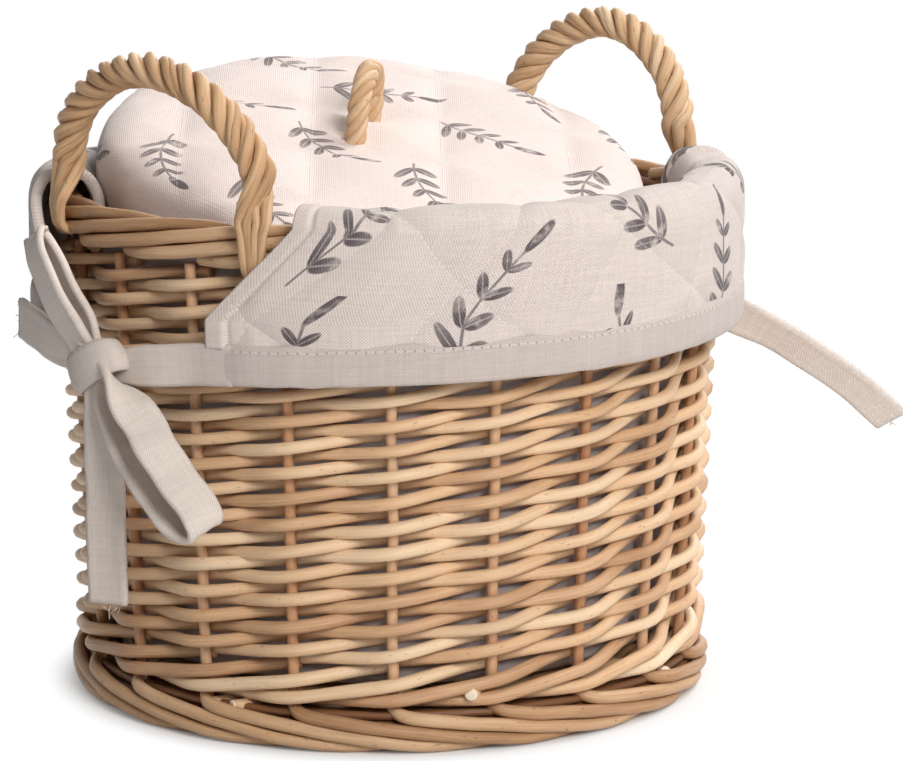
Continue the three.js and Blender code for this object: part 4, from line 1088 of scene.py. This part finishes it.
def swell(form, held):
    """Swells a closed form by cloth pressure; held picks the points that stay where they are."""
    cushion = bpy.data.objects.new("slack", form.mesh("slack"))
    scene.collection.objects.link(cushion)
    remesh = cushion.modifiers.new("even", "REMESH")
    remesh.mode = "VOXEL"
    remesh.voxel_size = SIM_VOXEL * MM
    applied(cushion)
    slack = points_of(cushion)
    group = cushion.vertex_groups.new(name="held")
    group.add(np.flatnonzero(held(slack / MM)).tolist(), 1.0, "REPLACE")
    cloth = cushion.modifiers.new("cloth", "CLOTH").settings
    cloth.use_pressure = True
    cloth.uniform_pressure_force = SIM_PRESSURE
    cloth.effector_weights.gravity = 0.0
    cloth.vertex_group_mass = "held"
    for step in range(1, SIM_FRAMES + 1):
        scene.frame_set(step)
    applied(cushion)
    moved = points_of(cushion) - slack
    far = np.linalg.norm(moved, axis=1, keepdims=True)
    capped = slack + moved * np.minimum(1, SIM_CAP * MM / np.maximum(far, 1e-9))
    cushion.data.vertices.foreach_set("co", capped.astype(np.float32).ravel())
    scene.frame_set(1)
    cushion.modifiers.new("smooth", "SUBSURF").levels = 1
    applied(cushion)
    quads = np.empty(len(cushion.data.loops), np.int32)
    cushion.data.loops.foreach_get("vertex_index", quads)
    shape = points_of(cushion) / MM, points_of(cushion, "normal"), quads.reshape(-1, 4)
    bpy.data.objects.remove(cushion)
    return shape


def sewn_down(p):
    """Points of the slack cushion on the quilting rows, and those that rest on the board."""
    on_row = quilt_puff(p[:, 0], p[:, 1], LID_QUILT, 3.0) < 0.35
    on_top = (np.hypot(p[:, 0], p[:, 1]) < LID_RADIUS - 12) & (p[:, 2] > 0)
    return (p[:, 2] < 2.0 - LID_DEPTH) | (on_row & on_top)


def make_lid():
    section = lid_section(LID_CROWN - LID_SLACK)
    columns = 160
    rings = spun(section[:, :1], around(columns)[None], section[:, 2:])
    slack = Form()
    skin(slack, rings[::-1], 0.5, np.zeros(len(section)), np.zeros(columns + 1))
    p, normal, quads = swell(slack, sewn_down)

    line = evenly(section, 1.0)
    reach, turn = np.hypot(p[:, 0], p[:, 1]), np.arctan2(p[:, 1], p[:, 0])
    near = np.argmin((reach[:, None] - line[None, :, 0]) ** 2 + (p[:, 2:] - line[None, :, 2]) ** 2, axis=1)
    way, foot = unit(np.gradient(line, axis=0))[near], line[near]
    along = arc_length(line)[near] + (reach - foot[:, 0]) * way[:, 0] + (p[:, 2] - foot[:, 2]) * way[:, 2]
    u, v = along * np.cos(turn), along * np.sin(turn)
    puff = (quilt_puff(u, v, LID_QUILT, LID_SOFTNESS) - 0.85) * LID_PUFF
    puff *= smooth((LID_RADIUS + 6 - along) / 22.0)
    lumps = ripples(u, v, (60.0, 34.0), 0.7) * smooth((along - 20) / 30)
    lumps *= smooth((LID_RADIUS + 40 - along) / 20)
    gathers = 0.35 * np.sin(turn * GATHERS + np.sin(turn * 5) * 2) + 0.3 * np.sin(turn * WIDE_GATHERS + 1.0)
    gathers *= smooth((along - LID_RADIUS - 8) / 20) * smooth((LID_RADIUS + 40 - along) / 8)
    c, s = cos_sin(LOOP_TURN)
    dimple = 0.0
    for leg in (-LOOP_SPAN / 2, LOOP_SPAN / 2):
        off = np.hypot(p[:, 0] - leg * c, p[:, 1] - leg * s - LOOP_BACK)
        dimple += np.exp(-((off / DIMPLE_RADIUS) ** 2)) * (p[:, 2] > 0)
    form = Form()
    flat = np.stack([u, v], 1)
    rise = puff + lumps + gathers - DIMPLE_DEPTH * dimple
    form.add(p + normal * rise[:, None], [quads], [flat[quads]], 0.5)
    lid = form.place(LID_TURN, LID_PLACE).make("lid_cushion", LID_LOOK, "lid", "lid_cloth", "lid_pad")


def make_underside():
    """Cloth that covers the core from below, with soft ripples, a little lower towards its edge."""
    columns, rows = 120, 30
    radius = np.linspace(0.5, UNDERSIDE_RADIUS, rows)[None]
    angle = np.linspace(0, 2 * np.pi, columns + 1)[:, None]
    u, v = radius * np.cos(angle), radius * np.sin(angle)
    sag = ripples(u, v, (50.0, 27.0), 0.25) - 0.35 * smooth((radius - 70) / 18)
    form = Form()
    low, high = (spun(radius, angle, z - LID_DEPTH) for z in (sag - 1.2, -0.3))
    sheet_grid(form, low, high, u, v)
    form.place(LID_TURN, LID_PLACE)
    cloth = form.make("lid_underside", UNDER_LOOK, "lid", "lid_cloth", "lid_base_cloth")


def make_loop():
    half, foot = LOOP_SPAN / 2, LOOP_SEAT - LID_DEPTH
    bend = LID_CROWN + LOOP_RISE - LOOP_ROPE - half
    a = np.linspace(0, np.pi, 60)
    arch = np.stack([-half * np.cos(a), np.zeros(60), bend + half * np.sin(a)], 1)
    leg = np.linspace((-half, 0, foot), (-half, 0, bend - 0.5), 20)
    path = evenly(np.vstack([leg, arch, (leg * (-1, 1, 1))[::-1]]), 1.2)
    form = Form()
    for line in rope_strands(path, LOOP_STRANDS, LOOP_TURNS, 0.56 * LOOP_ROPE, 0.3, (0, 1, 0)):
        size = 0.42 * LOOP_ROPE + wander(len(line), 0.06, 12)
        tube(form, line, size, rng.uniform(0.45, 1.0), 14, 0.1, (0, 1, 0), lobes=0.06)
    form.place((0, 0, LOOP_TURN), (0, LOOP_BACK, 0)).place(LID_TURN, LID_PLACE)
    form.make("lid_loop", ROPE_LOOK, "lid", "twisted_willow", "lid_handle")


make_lid()
make_underside()
make_loop()
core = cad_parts["lid_core"]
core.data.materials.clear()
core.data.materials.append(BOARD_LOOK)


# Floor and light, in metres

FLOOR_HALF = 8.0
FLOOR_FADE = 0.106, 0.126    # distances from the middle between which the floor turns to white
SKY_COLOUR, SKY_STRENGTH = (1.0, 0.98, 0.96, 1.0), 0.14
VIEW_RIGHT, VIEW_BACK, UP = Vector((0.703, -0.711, 0)), Vector((0.711, 0.703, 0)), Vector((0, 0, 1))
LAMP_TARGET = (0, 0, 0.1)


def area_light(name, right, back, up, size, power, colour=(1, 1, 1)):
    lamp = bpy.data.objects.new(name, bpy.data.lights.new(name, "AREA"))
    scene.collection.objects.link(lamp)
    lamp.location = VIEW_RIGHT * right + VIEW_BACK * back + UP * up
    lamp.data.shape = "DISK"
    lamp.data.size = size
    lamp.data.energy = power
    lamp.data.color = colour
    aim(lamp, LAMP_TARGET)


def backdrop_rays(n):
    """1 for the rays that show the white backdrop: from the camera, and off or through glossy surfaces."""
    ray = n.node("ShaderNodeLightPath")
    seen, mirrored, passed = (ray.outputs[f"Is {kind} Ray"] for kind in ("Camera", "Glossy", "Transmission"))
    return n.math("MAXIMUM", n.math("MAXIMUM", seen, mirrored), passed)


def studio_floor():
    """Pale floor that fades to the white of the backdrop a little way from the object."""
    n = Nodes(bpy.data.materials.new("studio_floor"))
    place = n.node("ShaderNodeTexCoord").outputs["Object"]
    reach = n.field("ShaderNodeVectorMath", place, output="Value", operation="LENGTH")
    grain = n.noise(place, scale=6.0)
    colour = n.ramp(grain, (0.0, (0.80, 0.80, 0.80, 1.0)), (1.0, (0.84, 0.84, 0.84, 1.0)))
    n.finish(colour, 0.9, grain, 0.01, 0.1)
    share = n.step(reach, *FLOOR_FADE) * backdrop_rays(n)
    pale, white = n.tree.nodes["Principled BSDF"], n.node("ShaderNodeEmission")
    both = n.node("ShaderNodeMixShader", share, pale.outputs[0], white.outputs[0])
    n.feed(n.tree.nodes["Material Output"].inputs["Surface"], both.outputs[0])
    return n.owner


mesh = bpy.data.meshes.new("floor")
corners = [(x * FLOOR_HALF, y * FLOOR_HALF, 0) for x, y in ((-1, -1), (1, -1), (1, 1), (-1, 1))]
mesh.from_pydata(corners, [], [(0, 1, 2, 3)])
mesh.materials.append(studio_floor())
floor = bpy.data.objects.new("floor", mesh)
scene.collection.objects.link(floor)

scene.world = bpy.data.worlds.new("studio")
n = Nodes(scene.world)
sky, backdrop = n.tree.nodes["Background"], n.node("ShaderNodeBackground")
n.fill(sky, Color=SKY_COLOUR, Strength=SKY_STRENGTH)
choice = n.node("ShaderNodeMixShader", backdrop_rays(n), sky.outputs[0], backdrop.outputs[0])
n.feed(n.tree.nodes["World Output"].inputs[0], choice.outputs[0])

area_light("key", 0.62, -1.42, 1.05, 0.8, 24.5, (1.0, 0.97, 0.94))
area_light("top", 0.95, 0.45, 1.55, 1.0, 18.5)
area_light("back", 0.4, 1.6, 0.9, 1.2, 13.0)

scene.view_settings.view_transform = "Standard"
